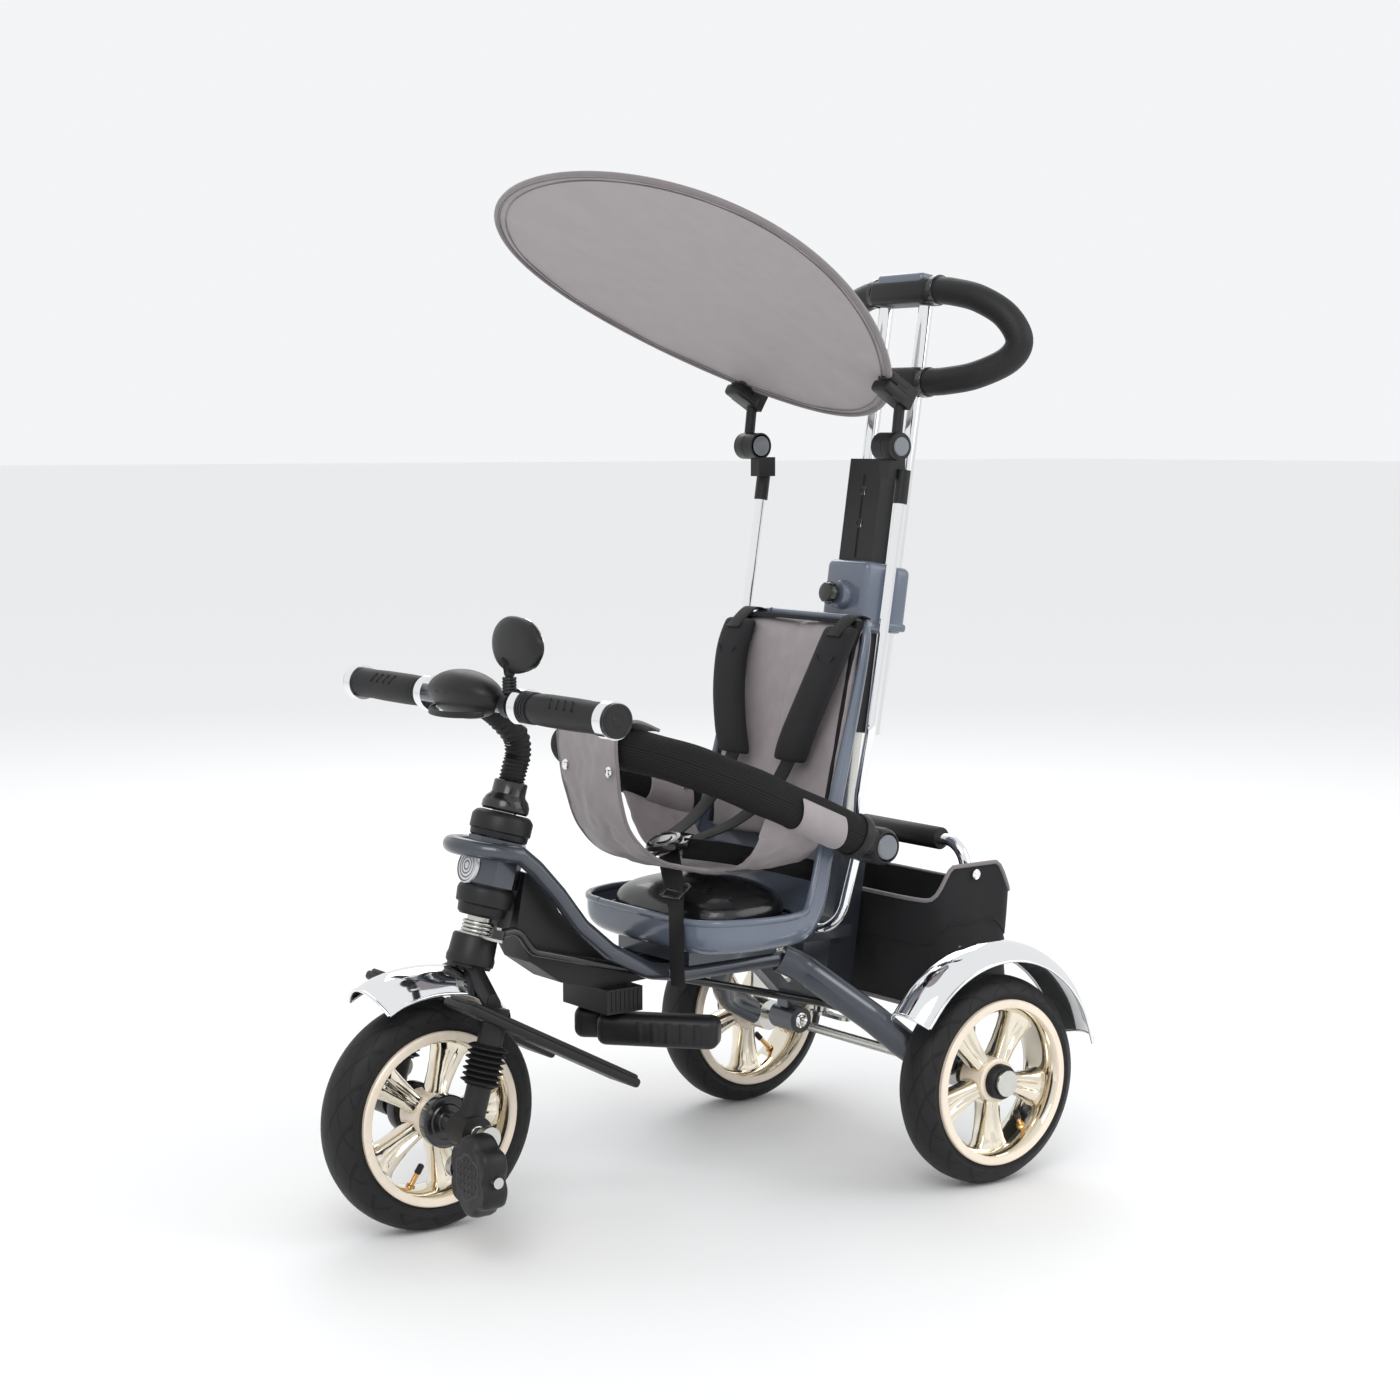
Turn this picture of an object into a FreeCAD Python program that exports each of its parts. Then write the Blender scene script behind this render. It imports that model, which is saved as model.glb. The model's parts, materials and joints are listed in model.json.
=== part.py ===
"""A children's tricycle with a parent's push bar, as separate named sub-parts.

Every size is in mm. +X is the rider's left, +Y runs to the rear and +Z is up.
Sub-parts are drawn about the front axle's Y; FrontAxleY then moves them all, so that the
object's box is centred on the origin.
"""
import FreeCAD, Part
import math
import os
import Sketcher

V = FreeCAD.Vector
UP = V(0, 0, 1)
ALONG_X = V(1, 0, 0)
SIDES = (("left", 1), ("right", -1))

doc = FreeCAD.newDocument("Tricycle")

# Driving dimensions: alias, value. Places are from the front axle (Y) and the ground (Z).
DIMENSIONS = (
    ("FrontAxleY", -330.2),
    ("FrontWheelRadius", 130.0), ("RearWheelRadius", 125.0), ("Wheelbase", 628.0),
    ("RearTrack", 477.0), ("TyreWidth", 57.0), ("RimWidth", 62.0), ("RimRadius", 99.0),
    ("BeadRadius", 92.0), ("RimBore", 85.0), ("HubRadius", 21.0), ("SpokeCount", 5.0),
    ("SpokeWidth", 11.0), ("SpokeGroove", 5.0), ("SpokeThickness", 12.0),
    ("AxleRadius", 8.0), ("RearAxleRadius", 6.0), ("RunningGap", 0.05),
    ("CrankThrow", 45.0), ("CrankWidth", 26.0), ("PinRadius", 6.0),
    ("PedalWidth", 74.0), ("PedalHeight", 88.0), ("PedalThickness", 30.0), ("PedalInnerX", 132.5),
    ("ForkLegX", 87.0), ("ForkLegRadius", 14.0), ("HousingRadius", 19.0),
    ("HeadLean", 16.0), ("HeadRake", 8.0), ("SteererRadius", 14.0), ("HeadWidth", 62.0),
    ("FootrestWidth", 60.0), ("FootrestThickness", 15.0), ("FootrestLength", 254.0),
    ("LoopRadius", 10.0), ("LoopHalfWidth", 50.0), ("BellyHalfWidth", 29.0),
    ("BarY", 69.0), ("BarZ", 592.5), ("BarRadius", 11.0), ("BarHalfWidth", 272.0),
    ("GripRadius", 18.0), ("RingRadius", 20.5), ("GripStartX", 107.0), ("GripEndX", 257.0),
    ("LegHalfWidth", 13.0),
    ("PushLean", 8.5), ("PushBaseY", 569.0), ("PushBaseZ", 171.0), ("PushShaftRadius", 9.0),
    ("PushTubeRadius", 9.0), ("PushTubeX", 37.0), ("ChannelWidth", 62.0), ("ChannelDepth", 24.0),
    ("CollarWidth", 78.0), ("LeverArm", 44.0), ("RodRadius", 5.0), ("PostWidth", 50.0),
    ("HandleHalfWidth", 168.0), ("FoamRadius", 17.0),
    ("SeatHalfWidth", 150.0), ("SeatShellThickness", 4.0), ("CushionWidth", 240.0),
    ("BumperHalfWidth", 150.0), ("BumperFrontY", 252.0), ("BumperRise", 122.0), ("BumperRadius", 25.0),
    ("PivotY", 530.0), ("PivotZ", 403.0), ("BarrelRadius", 22.5), ("ButtonRadius", 15.0),
    ("RodTubeRadius", 6.0), ("KnuckleY", 561.0), ("KnuckleZ", 874.0),
    ("KnuckleRadius", 16.5), ("CanopyHalfLength", 260.0), ("CanopyHalfWidth", 258.0),
    ("CanopyEgg", 0.30), ("CanopyTilt", 30.8), ("CanopyY", 394.5), ("CanopyZ", 1043.7),
    ("CanopyThickness", 6.0), ("PegLength", 107.0), ("PegWidth", 38.0), ("PegZ", 200.0),
    ("PegSweep", 42.0), ("BasketHalfWidth", 150.0), ("BasketFrontY", 614.0), ("BasketRearY", 766.0),
    ("BasketFloorZ", 188.0), ("BasketTopZ", 325.0),
    ("FenderRadius", 166.0), ("FenderHalfWidth", 34.0), ("FenderThickness", 2.5),
)

sheet = doc.addObject("Spreadsheet::Sheet", "Dims")
for row, (alias, number) in enumerate(DIMENSIONS, 1):
    sheet.set(f"A{row}", alias)
    sheet.set(f"B{row}", str(number))
    sheet.setAlias(f"B{row}", alias)
doc.recompute()


class Size:
    """A length with the spreadsheet expression that it comes from."""

    def __init__(self, value, text):
        self.value = float(value)
        self.text = text

    def __float__(self):
        return self.value

    def joined(self, other, sign, value):
        text = other.text if isinstance(other, Size) else str(other)
        return Size(value, f"({self.text} {sign} {text})")

    def __add__(self, other):
        return self.joined(other, "+", self.value + float(other))

    def __sub__(self, other):
        return self.joined(other, "-", self.value - float(other))

    def __mul__(self, other):
        return self.joined(other, "*", self.value * float(other))

    def __truediv__(self, other):
        return self.joined(other, "/", self.value / float(other))

    def __neg__(self):
        return self * -1


D = {alias: Size(float(sheet.get(alias)), f"Dims.{alias}") for alias, number in DIMENSIONS}
N = {alias: length.value for alias, length in D.items()}
nodes = []


def bind(obj, prop, length):
    """Sets a property, bound to the spreadsheet where the length comes from it."""
    if isinstance(length, Size):
        obj.setExpression(prop, length.text)
    else:
        setattr(obj, prop, length)


def finish(obj, label):
    """Names a sub-part and moves it from the front axle's frame into the object's."""
    obj.Label = label
    obj.setExpression("Placement.Base.y", "Dims.FrontAxleY")
    nodes.append(obj)
    return obj


def facing(direction):
    return FreeCAD.Rotation(UP, direction)


def cylinder(radius, height, base, direction=UP):
    obj = doc.addObject("Part::Cylinder", "Cylinder")
    bind(obj, "Radius", radius)
    bind(obj, "Height", height)
    obj.Placement = FreeCAD.Placement(base, facing(direction))
    return obj


def box(length, width, height, corner, rotation=None):
    obj = doc.addObject("Part::Box", "Box")
    bind(obj, "Length", length)
    bind(obj, "Width", width)
    bind(obj, "Height", height)
    obj.Placement = FreeCAD.Placement(corner, rotation or FreeCAD.Rotation())
    return obj


def torus(ring, wire, centre, direction=UP):
    obj = doc.addObject("Part::Torus", "Torus")
    bind(obj, "Radius1", ring)
    bind(obj, "Radius2", wire)
    obj.Placement = FreeCAD.Placement(centre, facing(direction))
    return obj


def ellipsoid(half_x, half_y, half_z, centre):
    obj = doc.addObject("Part::Ellipsoid", "Ellipsoid")
    obj.Radius1 = half_z
    obj.Radius2 = half_x
    obj.Radius3 = half_y
    obj.Placement = FreeCAD.Placement(centre, FreeCAD.Rotation())
    return obj


def fuse(*parts):
    obj = doc.addObject("Part::MultiFuse", "Fuse")
    obj.Shapes = list(parts)
    return obj


def cut(base, *tools):
    obj = doc.addObject("Part::Cut", "Cut")
    obj.Base = base
    obj.Tool = tools[0] if len(tools) == 1 else fuse(*tools)
    return obj


def group(label, *parts):
    """Separate solids that share one node."""
    obj = doc.addObject("Part::Compound", "Group")
    obj.Links = list(parts)
    return finish(obj, label)


def feature(shape, name="Shape"):
    obj = doc.addObject("Part::Feature", name)
    obj.Shape = shape
    return obj


def origin_plane(body, role):
    return [item for item in body.Origin.OriginFeatures if item.Role == role][0]


def new_sketch(body, role, name):
    sketch = body.newObject("Sketcher::SketchObject", name)
    sketch.AttachmentSupport = [(origin_plane(body, role), "")]
    sketch.MapMode = "FlatFace"
    return sketch


def pin_point(sketch, geometry, position, x, y):
    """Fixes a sketch point at (x, y) from the sketch's origin."""
    for kind, length in (("DistanceX", x), ("DistanceY", y)):
        if float(length) == 0.0:
            axis = -2 if kind == "DistanceX" else -1
            sketch.addConstraint(Sketcher.Constraint("PointOnObject", geometry, position, axis))
            continue
        index = sketch.addConstraint(
            Sketcher.Constraint(kind, -1, 1, geometry, position, float(length)))
        if isinstance(length, Size):
            sketch.setExpression(f"Constraints[{index}]", length.text)


def outline(sketch, corners):
    """A closed outline of straight edges, with every corner fixed."""
    count = len(corners)
    first = sketch.GeometryCount
    points = [V(float(x), float(y), 0) for x, y in corners]
    for index in range(count):
        sketch.addGeometry(Part.LineSegment(points[index], points[(index + 1) % count]))
    for index in range(count):
        following = first + (index + 1) % count
        sketch.addConstraint(Sketcher.Constraint("Coincident", first + index, 2, following, 1))
    for index, (x, y) in enumerate(corners):
        pin_point(sketch, first + index, 1, x, y)


def circle(sketch, x, y, radius):
    index = sketch.addGeometry(Part.Circle(V(float(x), float(y), 0), UP, float(radius)))
    pin_point(sketch, index, 3, x, y)
    bound = sketch.addConstraint(Sketcher.Constraint("Radius", index, float(radius)))
    if isinstance(radius, Size):
        sketch.setExpression(f"Constraints[{bound}]", radius.text)


def pad(body, sketch, name, length, side="Symmetric"):
    feature_pad = body.newObject("PartDesign::Pad", name)
    feature_pad.Profile = sketch
    feature_pad.SideType = side
    bind(feature_pad, "Length", length)
    sketch.Visibility = False
    return feature_pad


def revolve(body, sketch, name, axis="H_Axis"):
    turned = body.newObject("PartDesign::Revolution", name)
    turned.Profile = sketch
    turned.ReferenceAxis = (sketch, [axis])
    turned.Angle = 360.0
    return turned


def new_body(label):
    return doc.addObject("PartDesign::Body", label + "_body")


def bent_path(points, radius):
    """Straight runs through the points, joined by tangent arcs of the given radius."""
    edges = []
    start = points[0]
    for before, corner, after in zip(points, points[1:], points[2:]):
        inward = (before - corner).normalize()
        outward = (after - corner).normalize()
        angle = inward.getAngle(outward)
        room = 0.48 * min((corner - before).Length, (after - corner).Length)
        reach = min(radius / math.tan(angle / 2), room)
        bend = reach * math.tan(angle / 2)
        arc_start = corner + inward * reach
        arc_end = corner + outward * reach
        middle = (inward + outward).normalize()
        centre = corner + middle * (bend / math.sin(angle / 2))
        arc_middle = centre - middle * bend
        edges.append(Part.LineSegment(start, arc_start).toShape())
        edges.append(Part.Arc(arc_start, arc_middle, arc_end).toShape())
        start = arc_end
    edges.append(Part.LineSegment(start, points[-1]).toShape())
    return Part.Wire(edges)


def swept(path, profile):
    """A solid made by sweeping a closed profile wire along a path wire."""
    return path.makePipeShell([profile], True, True)


def round_profile(points, radius, across=1.0):
    """A circle, or an oval with its long axis stretched, at the start of a route."""
    direction = (points[1] - points[0]).normalize()
    if across == 1.0:
        return Part.Wire([Part.Circle(points[0], direction, radius).toShape()])
    oval = Part.Ellipse(V(0, 0, 0), radius * across, radius).toShape()
    oval.rotate(V(0, 0, 0), UP, 90)
    oval.Placement = FreeCAD.Placement(points[0], facing(direction)).multiply(oval.Placement)
    return Part.Wire([oval])


def bent_tube(points, bend, radius):
    return swept(bent_path(points, bend), round_profile(points, radius))


# The head axis leans back from the vertical, and passes behind the front axle by HeadRake.
HEAD_LEAN = math.radians(N["HeadLean"])
HEAD_AXIS = V(0, math.sin(HEAD_LEAN), math.cos(HEAD_LEAN))
HEAD_FORWARD = V(0, -math.cos(HEAD_LEAN), math.sin(HEAD_LEAN))


def head_point(z, x=0.0, forward=0.0):
    """The point of the head axis at height z, or one beside it."""
    y = N["HeadRake"] + (z - N["FrontWheelRadius"]) * math.tan(HEAD_LEAN)
    return V(x, y, z) + HEAD_FORWARD * forward


# The push bar's axis leans back too, and turns on the post behind the seat.
PUSH_LEAN = math.radians(N["PushLean"])
PUSH_AXIS = V(0, math.sin(PUSH_LEAN), math.cos(PUSH_LEAN))
PUSH_BACK = V(0, math.cos(PUSH_LEAN), -math.sin(PUSH_LEAN))
PUSH_TURN = FreeCAD.Rotation(ALONG_X, -N["PushLean"])


def push_point(along, x=0.0, back=0.0):
    """A point along the push bar's axis from the lever, beside it by x and behind it by back."""
    base = V(0, N["PushBaseY"], N["PushBaseZ"])
    return base + PUSH_AXIS * along + PUSH_BACK * back + ALONG_X * x


# ---------------------------------------------------------------- wheels

def make_tyre(label, radius, across, y):
    """An air tyre, seated between the rim's lips."""
    body = new_body(label)
    sketch = new_sketch(body, "XY_Plane", label + "_profile")
    half = D["TyreWidth"] / 2
    bead = D["BeadRadius"]
    outline(sketch, [
        (half * -0.94, bead), (half * 0.94, bead), (half * 0.94, bead + 8), (half, bead + 16),
        (half * 0.92, radius - 9), (half * 0.62, radius - 2), (half * 0.25, radius),
        (half * -0.25, radius), (half * -0.62, radius - 2), (half * -0.92, radius - 9),
        (-half, bead + 16), (half * -0.94, bead + 8)])
    revolve(body, sketch, label + "_ring")
    place_wheel(body, radius, across, y)
    finish(body, label)
    body.setExpression("Placement.Base.y", f"Dims.FrontAxleY + {y.text}")


def place_wheel(body, radius, across, y):
    body.Placement = FreeCAD.Placement(V(0, float(y), float(radius)), FreeCAD.Rotation())
    body.setExpression("Placement.Base.z", radius.text)
    if isinstance(across, Size):
        body.setExpression("Placement.Base.x", across.text)


def make_rim(label, radius, across, y, bore):
    """A deep plated rim: two lips, a drop centre, five split spokes and a hub."""
    body = new_body(label)
    ring = new_sketch(body, "XY_Plane", label + "_ring_profile")
    half = D["RimWidth"] / 2
    inner = D["RimBore"]
    outline(ring, [
        (-half, inner), (half, inner), (half, D["RimRadius"]), (half - 4, D["RimRadius"]),
        (half - 4, D["BeadRadius"]), (-half + 4, D["BeadRadius"]),
        (-half + 4, D["RimRadius"]), (-half, D["RimRadius"])])
    revolve(body, ring, label + "_ring")
    hub = new_sketch(body, "XY_Plane", label + "_hub_profile")
    outline(hub, [(-half, bore), (half, bore), (half, D["HubRadius"]), (-half, D["HubRadius"])])
    revolve(body, hub, label + "_hub")
    spoke = new_sketch(body, "YZ_Plane", label + "_spoke_outline")
    near = D["SpokeGroove"] / 2
    far = near + D["SpokeWidth"]
    root = D["HubRadius"] - 3
    end = inner + 3
    outline(spoke, [(near, root), (far, root), (far, end), (near, end)])
    outline(spoke, [(-far, root), (-near, root), (-near, end), (-far, end)])
    bars = pad(body, spoke, label + "_spokes", D["SpokeThickness"])
    pattern = body.newObject("PartDesign::PolarPattern", label + "_pattern")
    pattern.Originals = [bars]
    pattern.Axis = (origin_plane(body, "X_Axis"), [""])
    pattern.Angle = 360.0
    pattern.Occurrences = int(N["SpokeCount"])
    body.Tip = pattern
    place_wheel(body, radius, across, y)
    finish(body, label)
    body.setExpression("Placement.Base.y", f"Dims.FrontAxleY + {y.text}")


ZERO = D["Wheelbase"] * 0
make_tyre("front_tyre", D["FrontWheelRadius"], 0.0, ZERO)
make_rim("front_rim", D["FrontWheelRadius"], 0.0, ZERO, D["AxleRadius"])
for side, sign in SIDES:
    across = D["RearTrack"] / 2 * sign
    make_tyre(f"rear_tyre_{side}", D["RearWheelRadius"], across, D["Wheelbase"])
    make_rim(f"rear_rim_{side}", D["RearWheelRadius"], across, D["Wheelbase"],
             D["RearAxleRadius"] + D["RunningGap"])

# The crankshaft turns with the front wheel; its pins carry the pedals.
AXLE_Z = N["FrontWheelRadius"]
CRANK_ANGLE = math.radians(32.0)
CRANK_REACH = V(0, -N["CrankThrow"] * math.cos(CRANK_ANGLE), -N["CrankThrow"] * math.sin(CRANK_ANGLE))
CRANK_INNER_X = 121.5
CRANK_THICKNESS = 10.0
pieces = [cylinder(D["AxleRadius"], 2 * CRANK_INNER_X, V(-CRANK_INNER_X, 0, AXLE_Z), ALONG_X)]
for side, sign in SIDES:
    outward = ALONG_X * sign
    root = V(sign * CRANK_INNER_X, 0, AXLE_Z)
    tip = root + CRANK_REACH * sign
    pieces.append(cylinder(D["CrankWidth"] / 2, CRANK_THICKNESS, root, outward))
    pieces.append(cylinder(D["CrankWidth"] / 2, CRANK_THICKNESS, tip, outward))
    width = N["CrankWidth"] * 0.8
    arm = box(CRANK_THICKNESS, N["CrankThrow"], width, V(0, 0, 0))
    low_x = CRANK_INNER_X if sign > 0 else -CRANK_INNER_X - CRANK_THICKNESS
    angle = math.degrees(math.atan2(CRANK_REACH.z * sign, CRANK_REACH.y * sign))
    lift = FreeCAD.Rotation(ALONG_X, angle)
    arm.Placement = FreeCAD.Placement(V(low_x, 0, AXLE_Z) + lift.multVec(V(0, 0, -width / 2)), lift)
    pieces.append(arm)
    pin_length = D["PedalWidth"] + 3
    pieces.append(cylinder(D["PinRadius"], pin_length, tip + outward * CRANK_THICKNESS, outward))
    flange_x = 32.0
    pieces.append(cylinder(29.0, 8.0, V(sign * flange_x, 0, AXLE_Z), outward))
finish(fuse(*pieces), "crankshaft")

for side, sign in SIDES:
    body = new_body(f"pedal_{side}")
    sketch = new_sketch(body, "XZ_Plane", f"pedal_{side}_outline")
    half = D["PedalHeight"] / 2
    wide = D["PedalWidth"]
    outline(sketch, [
        (12, -half), (wide * 0.45, half * -0.86), (wide - 12, -half), (wide, half * -0.55),
        (wide * 0.93, 0), (wide, half * 0.55), (wide - 12, half), (wide * 0.45, half * 0.86),
        (12, half), (0, half * 0.5), (0, half * -0.5)])
    pad(body, sketch, f"pedal_{side}_block", D["PedalThickness"])
    bore = new_sketch(body, "YZ_Plane", f"pedal_{side}_bore")
    circle(bore, 0, 0, D["PinRadius"] + D["RunningGap"])
    hole = body.newObject("PartDesign::Pocket", f"pedal_{side}_hole")
    hole.Profile = bore
    hole.SideType = "Symmetric"
    hole.Length = 400.0
    turn = FreeCAD.Rotation(UP, 0 if sign > 0 else 180)
    centre = CRANK_REACH * sign
    body.Placement = FreeCAD.Placement(V(sign * N["PedalInnerX"], centre.y, AXLE_Z + centre.z), turn)
    finish(body, f"pedal_{side}")
    body.setExpression("Placement.Base.y", f"Dims.FrontAxleY + {centre.y:.4f}")

# ---------------------------------------------------------------- fork

LEG_TOP_Z = 262.0
LEG_LENGTH = (LEG_TOP_Z - AXLE_Z) / math.cos(HEAD_LEAN)


def leg_point(sign, along):
    """A point on a fork leg's axis, measured up from the wheel's axle."""
    return V(sign * N["ForkLegX"], 0, AXLE_Z) + HEAD_AXIS * along


legs = []
bellows = []
for side, sign in SIDES:
    leg_x = sign * N["ForkLegX"]
    leg = cylinder(D["ForkLegRadius"], LEG_LENGTH, leg_point(sign, 0), HEAD_AXIS)
    housing_start = V(leg_x - 17, 0, AXLE_Z)
    housing = cylinder(D["HousingRadius"], 34, housing_start, ALONG_X)
    bore = cylinder(D["AxleRadius"] + D["RunningGap"], 60, V(leg_x - 30, 0, AXLE_Z), ALONG_X)
    legs.append(cut(fuse(leg, housing), bore))
    body = new_body(f"bellows_{side}")
    sketch = new_sketch(body, "XZ_Plane", f"bellows_{side}_profile")
    folds = 6
    pitch = 7.0
    profile = [(D["ForkLegRadius"], 0)]
    for fold in range(folds):
        profile.append((D["ForkLegRadius"] + 4, fold * pitch + 0.8))
        profile.append((D["ForkLegRadius"] + 9, (fold + 0.5) * pitch))
    profile.append((D["ForkLegRadius"] + 4, folds * pitch))
    profile.append((D["ForkLegRadius"], folds * pitch))
    outline(sketch, profile)
    revolve(body, sketch, f"bellows_{side}_folds", "V_Axis")
    body.Placement = FreeCAD.Placement(leg_point(sign, 52), facing(HEAD_AXIS))
    bellows.append(body)
group("fork_legs", *legs)
group("fork_bellows", *bellows)

CROWN_Z = 291.0
CROWN_HEIGHT = 33.0
crown_pieces = [cylinder(25.0, CROWN_HEIGHT, head_point(CROWN_Z), HEAD_AXIS)]
yoke_top = head_point(CROWN_Z + 6)


def yoke(sign, radius):
    """The crown's arm, from the steerer down to a fork leg."""
    reach = leg_point(sign, LEG_LENGTH - 6) - yoke_top
    return cylinder(radius, reach.Length, yoke_top, reach)


leg_tools = []
for side, sign in SIDES:
    crown_pieces.append(yoke(sign, 10.0))
    leg_tools.append(cylinder(D["ForkLegRadius"], 200, leg_point(sign, 0), HEAD_AXIS))
steerer_hole = cylinder(D["SteererRadius"], 60, head_point(CROWN_Z - 20), HEAD_AXIS)
finish(cut(fuse(*crown_pieces), steerer_hole, *leg_tools), "fork_crown")

# The steerer runs through the head tube, then bends forward to the handlebar.
STEM_TURN_Z = 497.0
stem_points = [head_point(STEM_TURN_Z), head_point(528), V(0, 119, 549), V(0, 98, 572), V(0, 79, 587)]
stem_radius = 12.0
stem = feature(bent_tube(stem_points, 30.0, stem_radius))
steerer_length = (STEM_TURN_Z - CROWN_Z) / math.cos(HEAD_LEAN)
steerer = cylinder(D["SteererRadius"], steerer_length, head_point(CROWN_Z), HEAD_AXIS)
bar_start = V(-N["BarHalfWidth"], N["BarY"], N["BarZ"])
bar_bore = cylinder(D["BarRadius"], 2 * N["BarHalfWidth"], bar_start, ALONG_X)
finish(cut(fuse(steerer, stem), bar_bore), "steerer_stem")

boot_points = stem_points[:4] + [V(0, 90, 578.5)]
boot_outer = feature(bent_tube(boot_points, 30.0, 15.5))
boot_core = feature(bent_tube(stem_points, 30.0, stem_radius))
finish(cut(boot_outer, boot_core), "stem_boot")

dome_base = head_point(462.5)
dome = doc.addObject("Part::Sphere", "Dome")
dome.Radius = 27.5
dome.Angle1 = 0.0
dome.Angle2 = 90.0
dome.Placement = FreeCAD.Placement(dome_base, facing(HEAD_AXIS))
dome_collar = cylinder(19.5, 34.0, dome_base, HEAD_AXIS)
dome_bore = cylinder(D["SteererRadius"], 90, head_point(440), HEAD_AXIS)
finish(cut(fuse(dome, dome_collar), dome_bore), "stem_dome")

group("handlebar_tube", cylinder(D["BarRadius"], D["BarHalfWidth"] * 2, bar_start, ALONG_X))

pod_shell = ellipsoid(62.0, 35.0, 28.0, V(0, 54, 600))
pod_bore = cylinder(D["BarRadius"], 300, V(-150, N["BarY"], N["BarZ"]), ALONG_X)
pod_boot = feature(bent_tube(boot_points, 30.0, 15.5))
pod_stem = feature(bent_tube(stem_points, 30.0, stem_radius))
finish(cut(pod_shell, pod_bore, pod_boot, pod_stem), "handlebar_pod")

grips = []
rings = []
for side, sign in SIDES:
    outward = ALONG_X * sign
    at = V(0, N["BarY"], N["BarZ"])
    length = D["GripEndX"] - D["GripStartX"]
    sleeve = cylinder(D["GripRadius"], length, at + outward * N["GripStartX"], outward)
    sleeve_bore = cylinder(D["BarRadius"], 200, at + outward * 90, outward)
    grips.append(cut(sleeve, sleeve_bore))
    grips.append(cylinder(19.0, 4.5, at + outward * N["BarHalfWidth"], outward))
    for ring_x, ring_length in ((92.0, 15.0), (N["GripEndX"], 15.0)):
        ring = cylinder(D["RingRadius"], ring_length, at + outward * ring_x, outward)
        ring_bore = cylinder(D["BarRadius"], 40, at + outward * (ring_x - 10), outward)
        rings.append(cut(ring, ring_bore))
group("grips", *grips)
group("grip_rings", *rings)

STALK_X = 72.0
STALK_Y = 66.0
STALK_TOP = 625.0
clip = cylinder(15.0, 12.0, V(STALK_X - 6, N["BarY"], N["BarZ"]), ALONG_X)
post_rod = cylinder(4.5, STALK_TOP - N["BarZ"], V(STALK_X, STALK_Y, N["BarZ"]))
clip_bore = cylinder(D["BarRadius"], 60, V(STALK_X - 30, N["BarY"], N["BarZ"]), ALONG_X)
finish(cut(fuse(clip, post_rod), clip_bore), "mirror_stalk")
MIRROR = V(92, 64, 660)
GLASS_Y = 67.0
MIRROR_TURN = FreeCAD.Rotation(ALONG_X, 90)


def mirror_oval(half_x, half_z, y):
    """An upright oval outline behind or in front of the mirror's middle."""
    oval = Part.Ellipse(V(0, 0, 0), half_x, half_z).toShape()
    oval.Placement = FreeCAD.Placement(V(MIRROR.x, y, MIRROR.z), MIRROR_TURN)
    return Part.Wire([oval])


dish = Part.makeLoft([mirror_oval(50.0, 34.0, GLASS_Y), mirror_oval(49.0, 33.0, GLASS_Y - 4),
                      mirror_oval(36.0, 22.0, GLASS_Y - 12)], True, True)
mirror_boss = cylinder(8.0, 7.0, V(STALK_X, STALK_Y, STALK_TOP + 0.4))
glass_room = box(140, 30, 100, V(MIRROR.x - 70, GLASS_Y, MIRROR.z - 50))
finish(cut(fuse(feature(dish), mirror_boss), glass_room), "mirror_shell")
glass = Part.Face(mirror_oval(46.0, 30.0, GLASS_Y)).extrude(V(0, 1.5, 0))
finish(feature(glass), "mirror_glass")

# Footrest plates slope down to the rear, one over each fork leg.
PLATE_FRONT = V(0, -10, 281)
PLATE_SLOPE = 27.7
plates = []
for side, sign in SIDES:
    body = new_body(f"footrest_{side}")
    sketch = new_sketch(body, "XY_Plane", f"footrest_{side}_outline")
    half = D["FootrestWidth"] / 2
    length = D["FootrestLength"]
    outline(sketch, [
        (-half + 10, 0), (half - 10, 0), (half, 14), (half, length - 6), (half - 6, length),
        (-half + 6, length), (-half, length - 6), (-half, 14)])
    pad(body, sketch, f"footrest_{side}_plate", D["FootrestThickness"], "One side")
    down = FreeCAD.Rotation(ALONG_X, -PLATE_SLOPE)
    corner = PLATE_FRONT + V(sign * N["ForkLegX"], 0, 0) - down.multVec(V(0, 0, N["FootrestThickness"]))
    body.Placement = FreeCAD.Placement(corner, down)
    hole = cylinder(D["ForkLegRadius"] + 0.2, 300, leg_point(sign, 0), HEAD_AXIS)
    plates.append(cut(body, hole, yoke(sign, 10.3)))
group("footrest_plates", *plates)

# The front fender is an arched strip, swept over the tyre and cut round the crown.
fender_arc = Part.Arc(V(0, -84, 283), V(0, 5, 298), V(0, 97, 240))


def arched_profile(half, rise, thickness, at, along):
    """A thin arch, open below, square to the direction along."""
    outer = Part.Arc(V(-half, -rise, 0), V(0, 0, 0), V(half, -rise, 0))
    inner_half = half - thickness
    inner = Part.Arc(V(inner_half, -rise, 0), V(0, -thickness, 0), V(-inner_half, -rise, 0))
    ends = [
        Part.LineSegment(V(half, -rise, 0), V(inner_half, -rise, 0)),
        Part.LineSegment(V(-inner_half, -rise, 0), V(-half, -rise, 0))]
    wire = Part.Wire([outer.toShape(), ends[0].toShape(), inner.toShape(), ends[1].toShape()])
    side = ALONG_X * -1
    up = along.cross(side)
    matrix = FreeCAD.Matrix(
        side.x, up.x, along.x, at.x, side.y, up.y, along.y, at.y, side.z, up.z, along.z, at.z)
    wire.Placement = FreeCAD.Placement(matrix)
    return wire


def fender_shape(arc, half, rise, thickness):
    start = arc.value(arc.FirstParameter)
    along = arc.tangent(arc.FirstParameter)[0]
    profile = arched_profile(half, rise, thickness, start, along)
    return Part.Wire([arc.toShape()]).makePipeShell([profile], True, True)


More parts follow.
